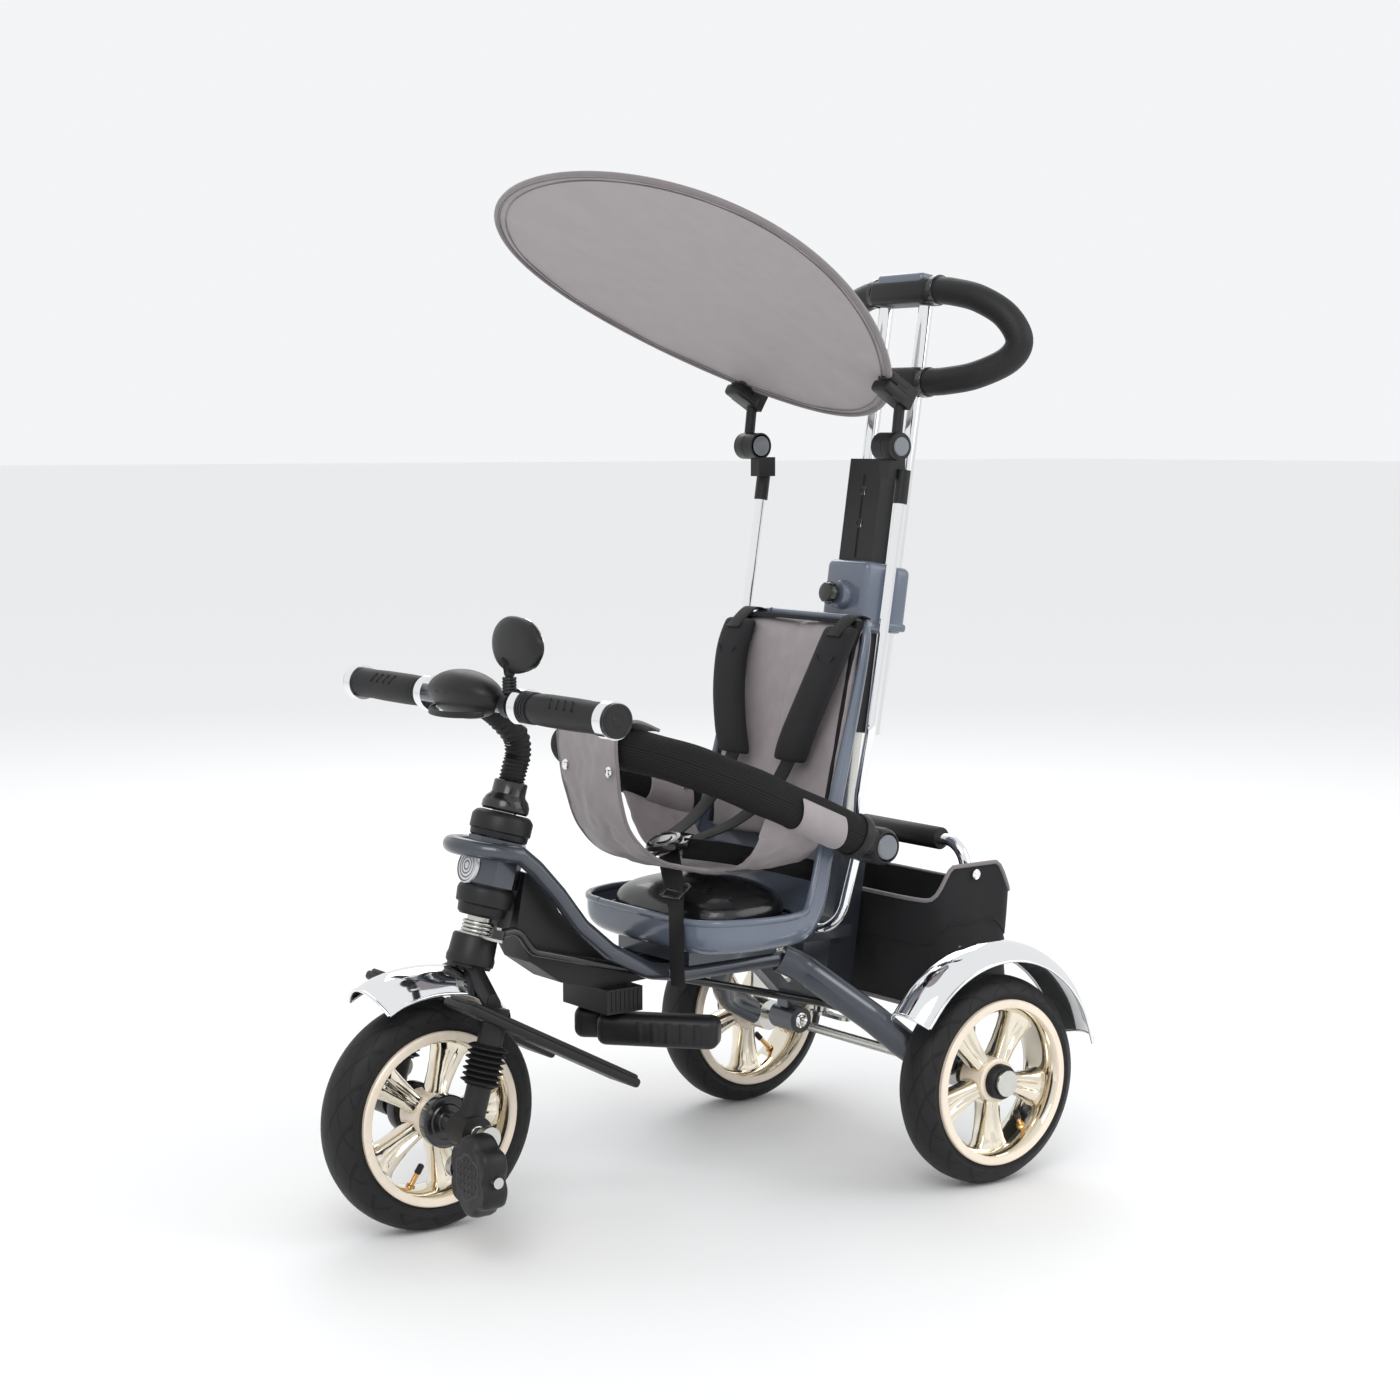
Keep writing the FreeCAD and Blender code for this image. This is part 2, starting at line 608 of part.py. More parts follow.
front_fender = feature(fender_shape(fender_arc, 45.0, 26.0, N["FenderThickness"]))
crown_room = cylinder(25.3, 80, head_point(CROWN_Z - 20), HEAD_AXIS)
yoke_rooms = [yoke(sign, 10.3) for _, sign in SIDES]
finish(cut(front_fender, crown_room, *yoke_rooms), "front_fender")

ARM_Z = 325.0
arm_root = head_point(ARM_Z)
arm_pin = arm_root + ALONG_X * N["LeverArm"]
arm_bar = box(N["LeverArm"], 16.0, 3.0, arm_root, FreeCAD.Rotation(ALONG_X, -N["HeadLean"]))
arm_bar.Placement.Base = arm_root - HEAD_FORWARD * -8.0
arm_ring = cylinder(20.0, 3.0, arm_root, HEAD_AXIS)
arm_eye = cylinder(8.0, 3.0, arm_pin, HEAD_AXIS)
arm_stud = cylinder(3.0, 16.0, arm_pin, HEAD_AXIS)
arm_hole = cylinder(D["SteererRadius"], 40, head_point(ARM_Z - 15), HEAD_AXIS)
coils = [torus(16.6, 2.0, arm_root + HEAD_AXIS * rise, HEAD_AXIS) for rise in (5.6, 10.2, 14.8)]
arm = cut(fuse(arm_bar, arm_ring, arm_eye, arm_stud), arm_hole)
group("steering_arm", arm, *coils)

# ---------------------------------------------------------------- head

CUP_LOW_Z = 346.5
LOWER_TOP_Z = 382.0
UPPER_LOW_Z = 432.0
UPPER_TOP_Z = 462.0


def along_head(low_z, high_z):
    return (high_z - low_z) / math.cos(HEAD_LEAN)


lower_cup = cylinder(33.0, along_head(CUP_LOW_Z, LOWER_TOP_Z), head_point(CUP_LOW_Z), HEAD_AXIS)
upper_cup = cylinder(35.5, along_head(UPPER_LOW_Z, UPPER_TOP_Z), head_point(UPPER_LOW_Z), HEAD_AXIS)
lower_bore = cylinder(D["SteererRadius"] + D["RunningGap"], 90, head_point(CUP_LOW_Z - 20), HEAD_AXIS)
upper_bore = cylinder(D["SteererRadius"] + D["RunningGap"], 90, head_point(UPPER_LOW_Z - 20), HEAD_AXIS)
group("headset_cups", cut(lower_cup, lower_bore), cut(upper_cup, upper_bore))

body = new_body("head_tube")
sketch = new_sketch(body, "XY_Plane", "head_octagon")
flat_side = D["HeadWidth"] / 2
flat = N["HeadWidth"] / 2
corner = flat_side * math.tan(math.pi / 8)
outline(sketch, [
    (flat_side, -corner), (flat_side, corner), (corner, flat_side), (-corner, flat_side),
    (-flat_side, corner), (-flat_side, -corner), (-corner, -flat_side), (corner, -flat_side)])
circle(sketch, 0, 0, D["SteererRadius"] + 6)
pad(body, sketch, "head_block", along_head(LOWER_TOP_Z, UPPER_LOW_Z), "One side")
body.Placement = FreeCAD.Placement(head_point(LOWER_TOP_Z), facing(HEAD_AXIS))
group("head_tube", body)

# ---------------------------------------------------------------- frame

LOOP_CENTRE_Y = 92.0
loop_half = N["LoopHalfWidth"]
front_bow = Part.Arc(V(-loop_half, LOOP_CENTRE_Y, 421), V(0, LOOP_CENTRE_Y - loop_half, 430),
                     V(loop_half, LOOP_CENTRE_Y, 421))
LOOP_END_Y = 455.0


def loop_side(sign):
    points = [V(50, 92, 421), V(51, 112, 404), V(54, 140, 372), V(58, 168, 333), V(60, 206, 300),
              V(60, 262, 270), V(60, 310, 262), V(60, LOOP_END_Y, 262)]
    return [V(point.x * sign, point.y, point.z) for point in points]


loop_parts = []
for side, sign in SIDES:
    loop_parts.append(bent_tube(loop_side(sign), 40.0, N["LoopRadius"]))
bow_start = V(-loop_half, LOOP_CENTRE_Y, 421)
bow_profile = Part.Wire([Part.Circle(bow_start, front_bow.tangent(front_bow.FirstParameter)[0],
                                     N["LoopRadius"]).toShape()])
loop_parts.append(Part.Wire([front_bow.toShape()]).makePipeShell([bow_profile], True, True))
stub_length = loop_half - flat
for side, sign in SIDES:
    loop_parts.append(Part.makeSphere(N["LoopRadius"], V(sign * loop_half, LOOP_CENTRE_Y, 421)))
    stub_start = V(sign * flat, LOOP_CENTRE_Y, 421)
    loop_parts.append(Part.makeCylinder(8, stub_length, stub_start, ALONG_X * sign))
loop_shape = loop_parts[0].fuse(loop_parts[1:])
finish(feature(loop_shape), "frame_loop")

body = new_body("belly_cover")
sketch = new_sketch(body, "YZ_Plane", "belly_outline")
outline(sketch, [
    (112, 396), (128, 392), (158, 346), (196, 306), (248, 276), (300, 266), (330, 272), (330, 256),
    (215, 250), (160, 264), (120, 292), (100, 330)])
pad(body, sketch, "belly_block", D["BellyHalfWidth"] * 2)
belly = body

body = new_body("seat_bracket")
sketch = new_sketch(body, "XY_Plane", "bracket_outline")
outline(sketch, [
    (72, 310), (72, 440), (44, 450), (44, 580), (-44, 580), (-44, 450), (-72, 440), (-72, 310)])
pad(body, sketch, "bracket_plate", 14.5, "One side")
body.Placement = FreeCAD.Placement(V(0, 0, 272), FreeCAD.Rotation())
post_length = 232.0
POST_FOOT = 34.0
post_half = N["PostWidth"] / 2
post_depth = 42.0
post_corner = push_point(POST_FOOT, -post_half, -post_depth / 2)
post = box(D["PostWidth"], post_depth, post_length - POST_FOOT, post_corner, PUSH_TURN)
post_bore = cylinder(D["PushShaftRadius"] + D["RunningGap"], 320, push_point(0), PUSH_AXIS)
strut = box(24.0, 124.0, 16.0, V(-12, 438, 264), FreeCAD.Rotation(ALONG_X, -46.0))
strut_boss = cylinder(16.0, 44.0, V(-22, 518, 170), ALONG_X)
foot_web = box(20.0, 54.0, 32.0, V(-10, 506, 185))
finish(cut(fuse(body, post, strut, strut_boss, foot_web), post_bore), "seat_post")

leg_shapes = []
for side, sign in SIDES:
    points = [V(60, LOOP_END_Y + 0.3, 262), V(72, 478, 250), V(150, 524, 196), V(186, 556, 158),
              V(189, 607, 132)]
    points = [V(point.x * sign, point.y, point.z) for point in points]
    leg_shapes.append(swept(bent_path(points, 60.0), round_profile(points, N["LegHalfWidth"], 1.5)))
group("rear_legs", *[cut(feature(shape), feature(loop_shape)) for shape in leg_shapes])

axle_z = N["RearWheelRadius"]
axle_y = N["Wheelbase"]
axle_half = 268.0
axle_pieces = [cylinder(D["RearAxleRadius"], 2 * axle_half, V(-axle_half, axle_y, axle_z), ALONG_X)]
for side, sign in SIDES:
    low = 178.0 if sign > 0 else -206.0
    axle_pieces.append(cylinder(20.0, 28.0, V(low, axle_y, axle_z), ALONG_X))
    stay = 200.0 if sign > 0 else -205.0
    axle_pieces.append(box(5.0, 24.0, 155.0, V(stay, axle_y - 12, axle_z)))
    axle_pieces.append(cylinder(15.5, 5.0, V(sign * 270.2, axle_y, axle_z), ALONG_X * sign))
    axle_pieces.append(cylinder(4.0, 8.0, V(sign * 264.0, axle_y, axle_z), ALONG_X * sign))
leg_room = [feature(shape) for shape in leg_shapes]
finish(cut(fuse(*axle_pieces), *leg_room), "rear_axle")

fenders = []
for side, sign in SIDES:
    centre = V(sign * N["RearTrack"] / 2, axle_y, axle_z)
    radius = N["FenderRadius"]

    def rim_point(degrees):
        angle = math.radians(degrees)
        return centre + V(0, math.cos(angle), math.sin(angle)) * radius
    arc = Part.Arc(rim_point(145), rim_point(80), rim_point(12))
    shell = feature(fender_shape(arc, N["FenderHalfWidth"], 20.0, N["FenderThickness"]))
    low = 200.0 if sign > 0 else -205.0
    stay_room = box(5.0, 24.0, 155.0, V(low, axle_y - 12, axle_z))
    fenders.append(cut(shell, stay_room))
group("rear_fenders", *fenders)

# Each footpeg turns on its own pin below the belly cover.
PEG_PIN_X = 24.0
PEG_PIN_Y = 237.0
peg_low = N["PegZ"] - N["PegWidth"] / 2
block = box(92.0, 50.0, 29.0, V(-46, 212, peg_low + N["PegWidth"] + 0.6 + 2.0))
pins = [cylinder(5.0, 42.0, V(sign * PEG_PIN_X, PEG_PIN_Y, peg_low + 1)) for _, sign in SIDES]
belly_head_room = cylinder(35.6, 160, head_point(320), HEAD_AXIS)
finish(fuse(cut(belly, belly_head_room), block, *pins), "belly_cover")
for side, sign in SIDES:
    boss = cylinder(19.0, D["PegWidth"], V(0, 0, 0))
    slab = box(D["PegLength"], D["PegWidth"], D["PegWidth"], V(0, -N["PegWidth"] / 2, 0))
    tip = cylinder(D["PegWidth"] / 2, D["PegWidth"], V(N["PegLength"], 0, 0))
    bore = cylinder(5.0 + N["RunningGap"], 60, V(0, 0, -10))
    peg = cut(fuse(boss, slab, tip), bore)
    sweep = N["PegSweep"] if sign > 0 else 180 - N["PegSweep"]
    peg.Placement = FreeCAD.Placement(V(sign * PEG_PIN_X, PEG_PIN_Y, peg_low), FreeCAD.Rotation(UP, sweep))
    group(f"peg_{side}", peg)

# ---------------------------------------------------------------- seat

def seat_section(y, z, lean, half, rise):
    """One U section of the bucket: its floor's middle, its lean, its half width and its sides' height."""
    wall = N["SeatShellThickness"]
    curve = 22.0
    up = V(0, -math.sin(math.radians(lean)), math.cos(math.radians(lean)))
    outer = [(-half, rise), (-half, curve), (-half + curve, 0), (half - curve, 0), (half, curve),
             (half, rise)]
    inner_curve = curve + wall / 2
    inner = [(half - wall, rise), (half - wall, inner_curve), (half - inner_curve, wall),
             (-half + inner_curve, wall), (-half + wall, inner_curve), (-half + wall, rise)]
    points = [V(x, y, z) + up * height for x, height in outer + inner]
    return Part.makePolygon(points + points[:1])


SEAT_BACK_HALF = 122.0
seat_half = N["SeatHalfWidth"]
sections = [
    seat_section(287, 286.5, 0, seat_half - 4, 40), seat_section(400, 286.5, 0, seat_half, 42),
    seat_section(446, 294, 25, seat_half - 8, 42), seat_section(482, 340, 64, seat_half - 18, 42),
    seat_section(500, 402, 77, SEAT_BACK_HALF, 40), seat_section(553, 660, 78, SEAT_BACK_HALF, 34)]
bucket = Part.makeLoft(sections, True, True)
lip = Part.makeBox(2 * seat_half - 56, 4, 40, V(-seat_half + 28, 287, 286.5))
seat_shape = bucket.fuse([lip])
finish(feature(seat_shape), "seat_shell")

body = new_body("seat_cushion")
sketch = new_sketch(body, "XY_Plane", "cushion_outline")
half = D["CushionWidth"] / 2
outline(sketch, [
    (half, 330), (half, 420), (half - 30, 440), (-half + 30, 440), (-half, 420), (-half, 330),
    (-half + 34, 298), (half - 34, 298)])
pad(body, sketch, "cushion_block", 66, "One side")
body.Placement = FreeCAD.Placement(V(0, 0, 294), FreeCAD.Rotation())
group("seat_cushion", cut(body, feature(seat_shape)))

BACK_LEAN = math.degrees(math.atan2(57.0, 262.0))
BACK_TURN = FreeCAD.Rotation(ALONG_X, -BACK_LEAN)


def back_point(x, z, forward):
    """A point in front of the backrest's face."""
    y = 496 + (z - 400) * math.tan(math.radians(BACK_LEAN))
    return V(x, y, z) + BACK_TURN.multVec(V(0, -forward, 0))


cover_face = box(220.0, 7.0, 262.0, back_point(-110, 396, 24), BACK_TURN)
cover_core = box(194.0, 16.0, 262.0, back_point(-97, 396, 24), BACK_TURN)
pads_list = []
for side, sign in SIDES:
    pad_x = 38.0 if sign > 0 else -86.0
    pads_list.append(box(48.0, 12.0, 150.0, back_point(pad_x, 500, 42), BACK_TURN))
group("back_cover", fuse(cover_face, cover_core), *pads_list)
buckle = cylinder(23.0, 12.0, V(0, 327, 402), V(0, -0.35, 1))
group("harness", buckle)

# ---------------------------------------------------------------- bumper bar and sling

pivot = V(0, N["PivotY"], N["PivotZ"])
bumper_half = N["BumperHalfWidth"]
rise_slope = N["BumperRise"] / (N["PivotY"] - N["BumperFrontY"])


def bumper_point(x, y):
    return V(x, y, N["PivotZ"] + (N["PivotY"] - y) * rise_slope)


BAR_START_Y = 494.0
corner_y = N["BumperFrontY"]
bar_points = [bumper_point(bumper_half, BAR_START_Y), bumper_point(bumper_half, corner_y + 60),
              bumper_point(bumper_half - 50, corner_y + 4), bumper_point(0, corner_y - 4)]
bar_points += [V(-point.x, point.y, point.z) for point in reversed(bar_points[:-1])]
bumper_tube = feature(bent_tube(bar_points, 90.0, N["BumperRadius"]))
bumper_parts = [bumper_tube]
BARREL_SPLIT_X = 132.0
BARREL_END_X = 168.0
bar_turn = FreeCAD.Rotation(ALONG_X, -math.degrees(math.atan(rise_slope)))
for side, sign in SIDES:
    low = BARREL_SPLIT_X + 0.4 if sign > 0 else -BARREL_END_X
    length = BARREL_END_X - BARREL_SPLIT_X - 0.4
    bumper_parts.append(cylinder(D["BarrelRadius"], length, V(low, pivot.y, pivot.z), ALONG_X))
    neck_corner = V(low, pivot.y, pivot.z) + bar_turn.multVec(V(0, -44, -13))
    bumper_parts.append(box(length, 44.0, 26.0, neck_corner, bar_turn))
button_rooms = []
for side, sign in SIDES:
    low = BARREL_END_X - 12.0 if sign > 0 else -BARREL_END_X - 8.0
    button_rooms.append(cylinder(D["ButtonRadius"] + 0.06, 20.0, V(low, pivot.y, pivot.z), ALONG_X))
finish(cut(fuse(*bumper_parts), *button_rooms), "bumper_bar")
for side, sign in SIDES:
    low = BARREL_END_X - 6.0 if sign > 0 else -BARREL_END_X - 3.0
    group(f"bumper_button_{side}", cylinder(D["ButtonRadius"], 9.0, V(low, pivot.y, pivot.z), ALONG_X))


def rod_route(sign):
    """The canopy tube's side: from the knuckle sleeve down past the pivot and in below the seat."""
    points = [V(134, 581, 846), V(134, 532, 540), V(118, 528, 462), V(118, 524, 385), V(104, 514, 312),
              V(76, 510, 292.6)]
    return [V(point.x * sign, point.y, point.z) for point in points]


route = rod_route(1) + list(reversed(rod_route(-1)))
canopy_tube = feature(bent_tube(route, 40.0, N["RodTubeRadius"]))
finish(canopy_tube, "canopy_tube")

barrels = []
for side, sign in SIDES:
    low = 100.0 if sign > 0 else -BARREL_SPLIT_X
    barrel = cylinder(D["BarrelRadius"], BARREL_SPLIT_X - 100.0, V(low, pivot.y, pivot.z), ALONG_X)
    tube_room = feature(bent_tube(route, 40.0, N["RodTubeRadius"]))
    barrels.append(cut(barrel, tube_room))
group("pivot_barrels", *barrels)

# ---------------------------------------------------------------- canopy

knuckles = []
arms = []
knuckle_at = V(0, N["KnuckleY"], N["KnuckleZ"])
for side, sign in SIDES:
    fixed_low = 116.0 if sign > 0 else -133.0
    disc = cylinder(D["KnuckleRadius"], 17.0, knuckle_at + ALONG_X * fixed_low, ALONG_X)
    sleeve = cylinder(8.5, 40.0, V(sign * 134, 581, 846) - V(0, 6, 39.6), V(0, 0.1478, 0.989))
    web = box(17.0, 26.0, 24.0, V(fixed_low, 558, 836))
    fixed = fuse(disc, web, sleeve)
    tube_room = feature(bent_tube(route, 40.0, N["RodTubeRadius"]))
    room_start = knuckle_at + ALONG_X * (133.4 * sign)
    moving_room = cylinder(D["KnuckleRadius"] + 1.0, 30.0, room_start, ALONG_X * sign)
    knuckles.append(cut(fixed, tube_room, moving_room))
    moving_low = 133.6 if sign > 0 else -150.6
    moving_disc = cylinder(D["KnuckleRadius"], 17.0, knuckle_at + ALONG_X * moving_low, ALONG_X)
    arm_foot = knuckle_at + V(sign * 142.0, 0, 0)
    arm_top = V(sign * 142.0, 568, 934)
    arm_direction = arm_top - arm_foot
    arm_rod = cylinder(6.5, arm_direction.Length, arm_foot, arm_direction)
    clamp = box(26.0, 32.0, 26.0, V(sign * 142.0 - 13, 544, 933), FreeCAD.Rotation(ALONG_X, -30.8))
    arms.append(fuse(moving_disc, arm_rod, clamp))
group("canopy_knuckles", *knuckles)


def canopy_outline(offset):
    """The egg-shaped outline of the canopy, wider at the front, in its own plane."""
    points = []
    count = 48
    for index in range(count):
        angle = 2 * math.pi * index / count
        x = (N["CanopyHalfWidth"] + offset) * math.sin(angle) * (1 + N["CanopyEgg"] * math.cos(angle))
        points.append(V(x, -(N["CanopyHalfLength"] + offset) * math.cos(angle), 0))
    curve = Part.BSplineCurve()
    curve.interpolate(points, PeriodicFlag=True)
    return Part.Wire([curve.toShape()])


disc_face = Part.Face(canopy_outline(0))
disc_solid = disc_face.extrude(V(0, 0, N["CanopyThickness"]))
disc_turn = FreeCAD.Rotation(ALONG_X, -N["CanopyTilt"])
disc_solid.Placement = FreeCAD.Placement(V(0, N["CanopyY"], N["CanopyZ"]), disc_turn)
group("canopy_disc", feature(disc_solid))
disc_room = feature(disc_solid)
group("canopy_arms", *[cut(arm, disc_room) for arm in arms])

# ---------------------------------------------------------------- push bar

collar_low = 475.0
collar_high = 563.0
shaft = cylinder(D["PushShaftRadius"], collar_low - 0.2, push_point(0), PUSH_AXIS)
group("push_shaft", shaft)
lever_eye = cylinder(15.0, 4.0, push_point(-4.2), PUSH_AXIS)
lever_bar = box(D["LeverArm"], 18.0, 4.0, push_point(-4.2, 0, -9), PUSH_TURN)
lever_tip = cylinder(9.0, 4.0, push_point(-4.2, N["LeverArm"]), PUSH_AXIS)
finish(fuse(lever_eye, lever_bar, lever_tip), "steering_lever")

collar_height = collar_high - collar_low
front_corner = push_point(collar_low, -N["CollarWidth"] / 2, -46)
front_block = box(D["CollarWidth"], 44.0, collar_height, front_corner, PUSH_TURN)
rear_wing = box(108.0, 28.0, collar_height - 8, push_point(collar_low + 4, -54, -14), PUSH_TURN)
knob_boss = cylinder(17.0, 12.0, push_point(519, 0, -46), PUSH_BACK * -1)
room_corner = push_point(300, -N["ChannelWidth"] / 2 - 0.1, -34.1)
channel_room = box(D["ChannelWidth"] + 0.2, D["ChannelDepth"] + 0.2, 400, room_corner, PUSH_TURN)
tube_bore = D["PushTubeRadius"] + D["RunningGap"]
tube_rooms = []
for side, sign in SIDES:
    tube_rooms.append(cylinder(tube_bore, 400, push_point(300, sign * N["PushTubeX"]), PUSH_AXIS))
knob_room = cylinder(8.05, 60, push_point(519, 0, -20), PUSH_BACK * -1)
finish(cut(fuse(front_block, rear_wing, knob_boss), channel_room, *tube_rooms, knob_room), "push_collar")
knob_head = cylinder(13.0, 12.0, push_point(519, 0, -64), PUSH_BACK * -1)
knob_stem = cylinder(8.0, 29.5, push_point(519, 0, -34.8), PUSH_BACK * -1)
finish(fuse(knob_head, knob_stem), "push_knob")

CHANNEL_LOW = 352.0
CHANNEL_HIGH = 690.0
channel_block = box(D["ChannelWidth"], D["ChannelDepth"], CHANNEL_HIGH - CHANNEL_LOW,
                    push_point(CHANNEL_LOW, -N["ChannelWidth"] / 2, -34), PUSH_TURN)
inside = box(N["ChannelWidth"] - 6, N["ChannelDepth"], 400,
             push_point(CHANNEL_LOW - 10, -N["ChannelWidth"] / 2 + 3, -31), PUSH_TURN)
keyholes = []
for along in (610.0, 650.0):
    keyholes.append(cylinder(6.0, 12.0, push_point(along, 0, -40), PUSH_BACK))
slot_cut = box(5.0, 12.0, 104.0, push_point(566, -2.5, -40), PUSH_TURN)
finish(cut(channel_block, inside, slot_cut, *keyholes), "push_channel")
TUBE_LOW = 352.0
TUBE_TOP = 884.0
tubes = []
for side, sign in SIDES:
    tube_foot = push_point(TUBE_LOW, sign * N["PushTubeX"])
    tubes.append(cylinder(D["PushTubeRadius"], TUBE_TOP - TUBE_LOW, tube_foot, PUSH_AXIS))
group("push_tubes", *tubes)

hub_low = TUBE_TOP
handle_z = hub_low + 20.0
low_bar = 790.0
HANDLE_SWEEP = 45.0
handle_half = N["HandleHalfWidth"]


def handle_route():
    """One side of the foam ring, from the hub out and round to the lower bar."""
    return [push_point(handle_z, 48, 0), push_point(handle_z - 6, 96, 8),
            push_point(handle_z - 34, handle_half - 8, 34),
            push_point(handle_z - 62, handle_half + 1, HANDLE_SWEEP),
            push_point(low_bar + 22, handle_half - 34, 34),
            push_point(low_bar + 3, 90, 8), push_point(low_bar, 48, 0)]


def hub_blocks():
    """The blocks that the foam ring's ends run into: the hub and the lower cross bar."""
    upper = box(112.0, 38.0, 40.0, push_point(hub_low, -56, -19), PUSH_TURN)
    lower = box(112.0, 36.0, 36.0, push_point(low_bar - 18, -56, -18), PUSH_TURN)
    return upper, lower


foams = []
for side, sign in SIDES:
    points = [V(point.x * sign, point.y, point.z) for point in handle_route()]
    foams.append(cut(feature(bent_tube(points, 60.0, N["FoamRadius"])), *hub_blocks()))
group("handle_foam", *foams)
cross_holes = []
for side, sign in SIDES:
    hole_foot = push_point(low_bar - 60, sign * N["PushTubeX"])
    cross_holes.append(cylinder(D["PushTubeRadius"], 120, hole_foot, PUSH_AXIS))
hub, cross = hub_blocks()
group("handle_hub", hub, cut(cross, *cross_holes))

# The rod joins the fork's arm to the push bar's lever.
rod_rear = push_point(5.0, N["LeverArm"])
rod_eye = cylinder(8.0, 10.0, arm_pin + HEAD_AXIS * 3.4, HEAD_AXIS)
rod_front = arm_pin + HEAD_AXIS * 8.6
rod_points = [rod_front + V(0, 2, 0), rod_front + V(0, 26, 2), V(44, 112, 308), V(44, 540, 192),
              rod_rear + V(0, 0, 5)]
rod_bar = feature(bent_tube(rod_points, 20.0, N["RodRadius"]))
rod_bore = cylinder(3.05, 40, arm_pin - HEAD_AXIS * 5, HEAD_AXIS)
finish(cut(fuse(rod_eye, rod_bar), rod_bore), "steering_rod")

# ---------------------------------------------------------------- luggage

basket_height = D["BasketTopZ"] - D["BasketFloorZ"]
basket_outer = box(D["BasketHalfWidth"] * 2, N["BasketRearY"] - N["BasketFrontY"], basket_height,
                   V(-N["BasketHalfWidth"], N["BasketFrontY"], N["BasketFloorZ"]))
basket_room = box(N["BasketHalfWidth"] * 2 - 8, N["BasketRearY"] - N["BasketFrontY"] - 8, 400,
                  V(-N["BasketHalfWidth"] + 4, N["BasketFrontY"] + 4, N["BasketFloorZ"] + 4))
side_panels = []
for side, sign in SIDES:
    low = N["BasketHalfWidth"] - 4 if sign > 0 else -N["BasketHalfWidth"]
    side_panels.append(box(4.0, 100.0, 42.0, V(low, 640, 323)))
post_clip = cylinder(15.0, 12.0, push_point(92, 0, 21.1), PUSH_BACK)

LUGGAGE_Z = 386.0
luggage = [V(-120, 716, 191), V(-120, 706, 340), V(-108, 700, LUGGAGE_Z), V(108, 700, LUGGAGE_Z),
           V(120, 706, 340), V(120, 716, 191)]
finish(feature(bent_tube(luggage, 34.0, 7.5)), "luggage_tube")
floor_holes = [cylinder(8.8, 12.0, V(sign * 120, 716, 184)) for _, sign in SIDES]
basket_tub = cut(basket_outer, basket_room, *floor_holes)
finish(fuse(basket_tub, post_clip, *side_panels), "basket")
foam_outer = cylinder(14.0, 150.0, V(-75, 700, LUGGAGE_Z), ALONG_X)
foam_bore = cylinder(7.5, 200.0, V(-100, 700, LUGGAGE_Z), ALONG_X)
finish(cut(foam_outer, foam_bore), "luggage_foam")

def band(points, width_axis, low, high, thickness):
    """A strip whose corners are square, made of the outline on both sides of its points."""
    normal = width_axis
    ups = []
    downs = []
    for index, point in enumerate(points):
        before = points[max(index - 1, 0)]
        after = points[min(index + 1, len(points) - 1)]
        side = (after - before).normalize().cross(normal).normalize()
        ups.append(point + side * (thickness / 2) + normal * low)
        downs.append(point - side * (thickness / 2) + normal * low)
    ring = ups + list(reversed(downs))
    face = Part.Face(Part.makePolygon(ring + ring[:1]))
    return face.extrude(normal * (high - low))


# The sling hangs from the bumper bar: a strip back to the seat and a band to each side.
sling_thickness = 3.0
front_strip = band([V(0, 219, 500), V(0, 222, 470), V(0, 236, 428), V(0, 268, 392), V(0, 320, 372),
                    V(0, 400, 367), V(0, 452, 367)], ALONG_X, -58.0, 58.0, sling_thickness)
side_band = band([V(-150, 0, 410), V(-136, 0, 394), V(-100, 0, 374), V(-60, 0, 367),
                  V(60, 0, 367), V(100, 0, 374), V(136, 0, 394), V(150, 0, 410)], V(0, 1, 0), 372.0, 452.0,
                 sling_thickness)
bar_room = feature(bent_tube(bar_points, 90.0, N["BumperRadius"]))
finish(cut(feature(front_strip.fuse([side_band])), bar_room), "bumper_sling")

# ---------------------------------------------------------------- output

doc.recompute()
os.makedirs("parts", exist_ok=True)
failed = [obj.Name for obj in doc.Objects if "Invalid" in obj.State or "Error" in obj.State]
if failed:
    raise RuntimeError(f"features that failed: {failed}")
for node in nodes:
    if node.Shape.isNull() or not node.Shape.isValid() or not node.Shape.Solids:
        raise RuntimeError(f"{node.Label} has no valid shape")
for node in nodes:
    node.Shape.exportStep(os.path.join("parts", node.Label + ".step"))
print(len(nodes), "sub-parts exported")
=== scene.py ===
"""Builds the looks of a children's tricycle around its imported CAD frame.

The file is laid out as an add-on: sizes and colours are properties, each piece or group of like
pieces has its operator, and a sidebar panel lists them. Run as a script, it makes the whole scene.
"""
import json
import math

import bmesh
import bpy
from mathutils import Matrix, Vector, noise


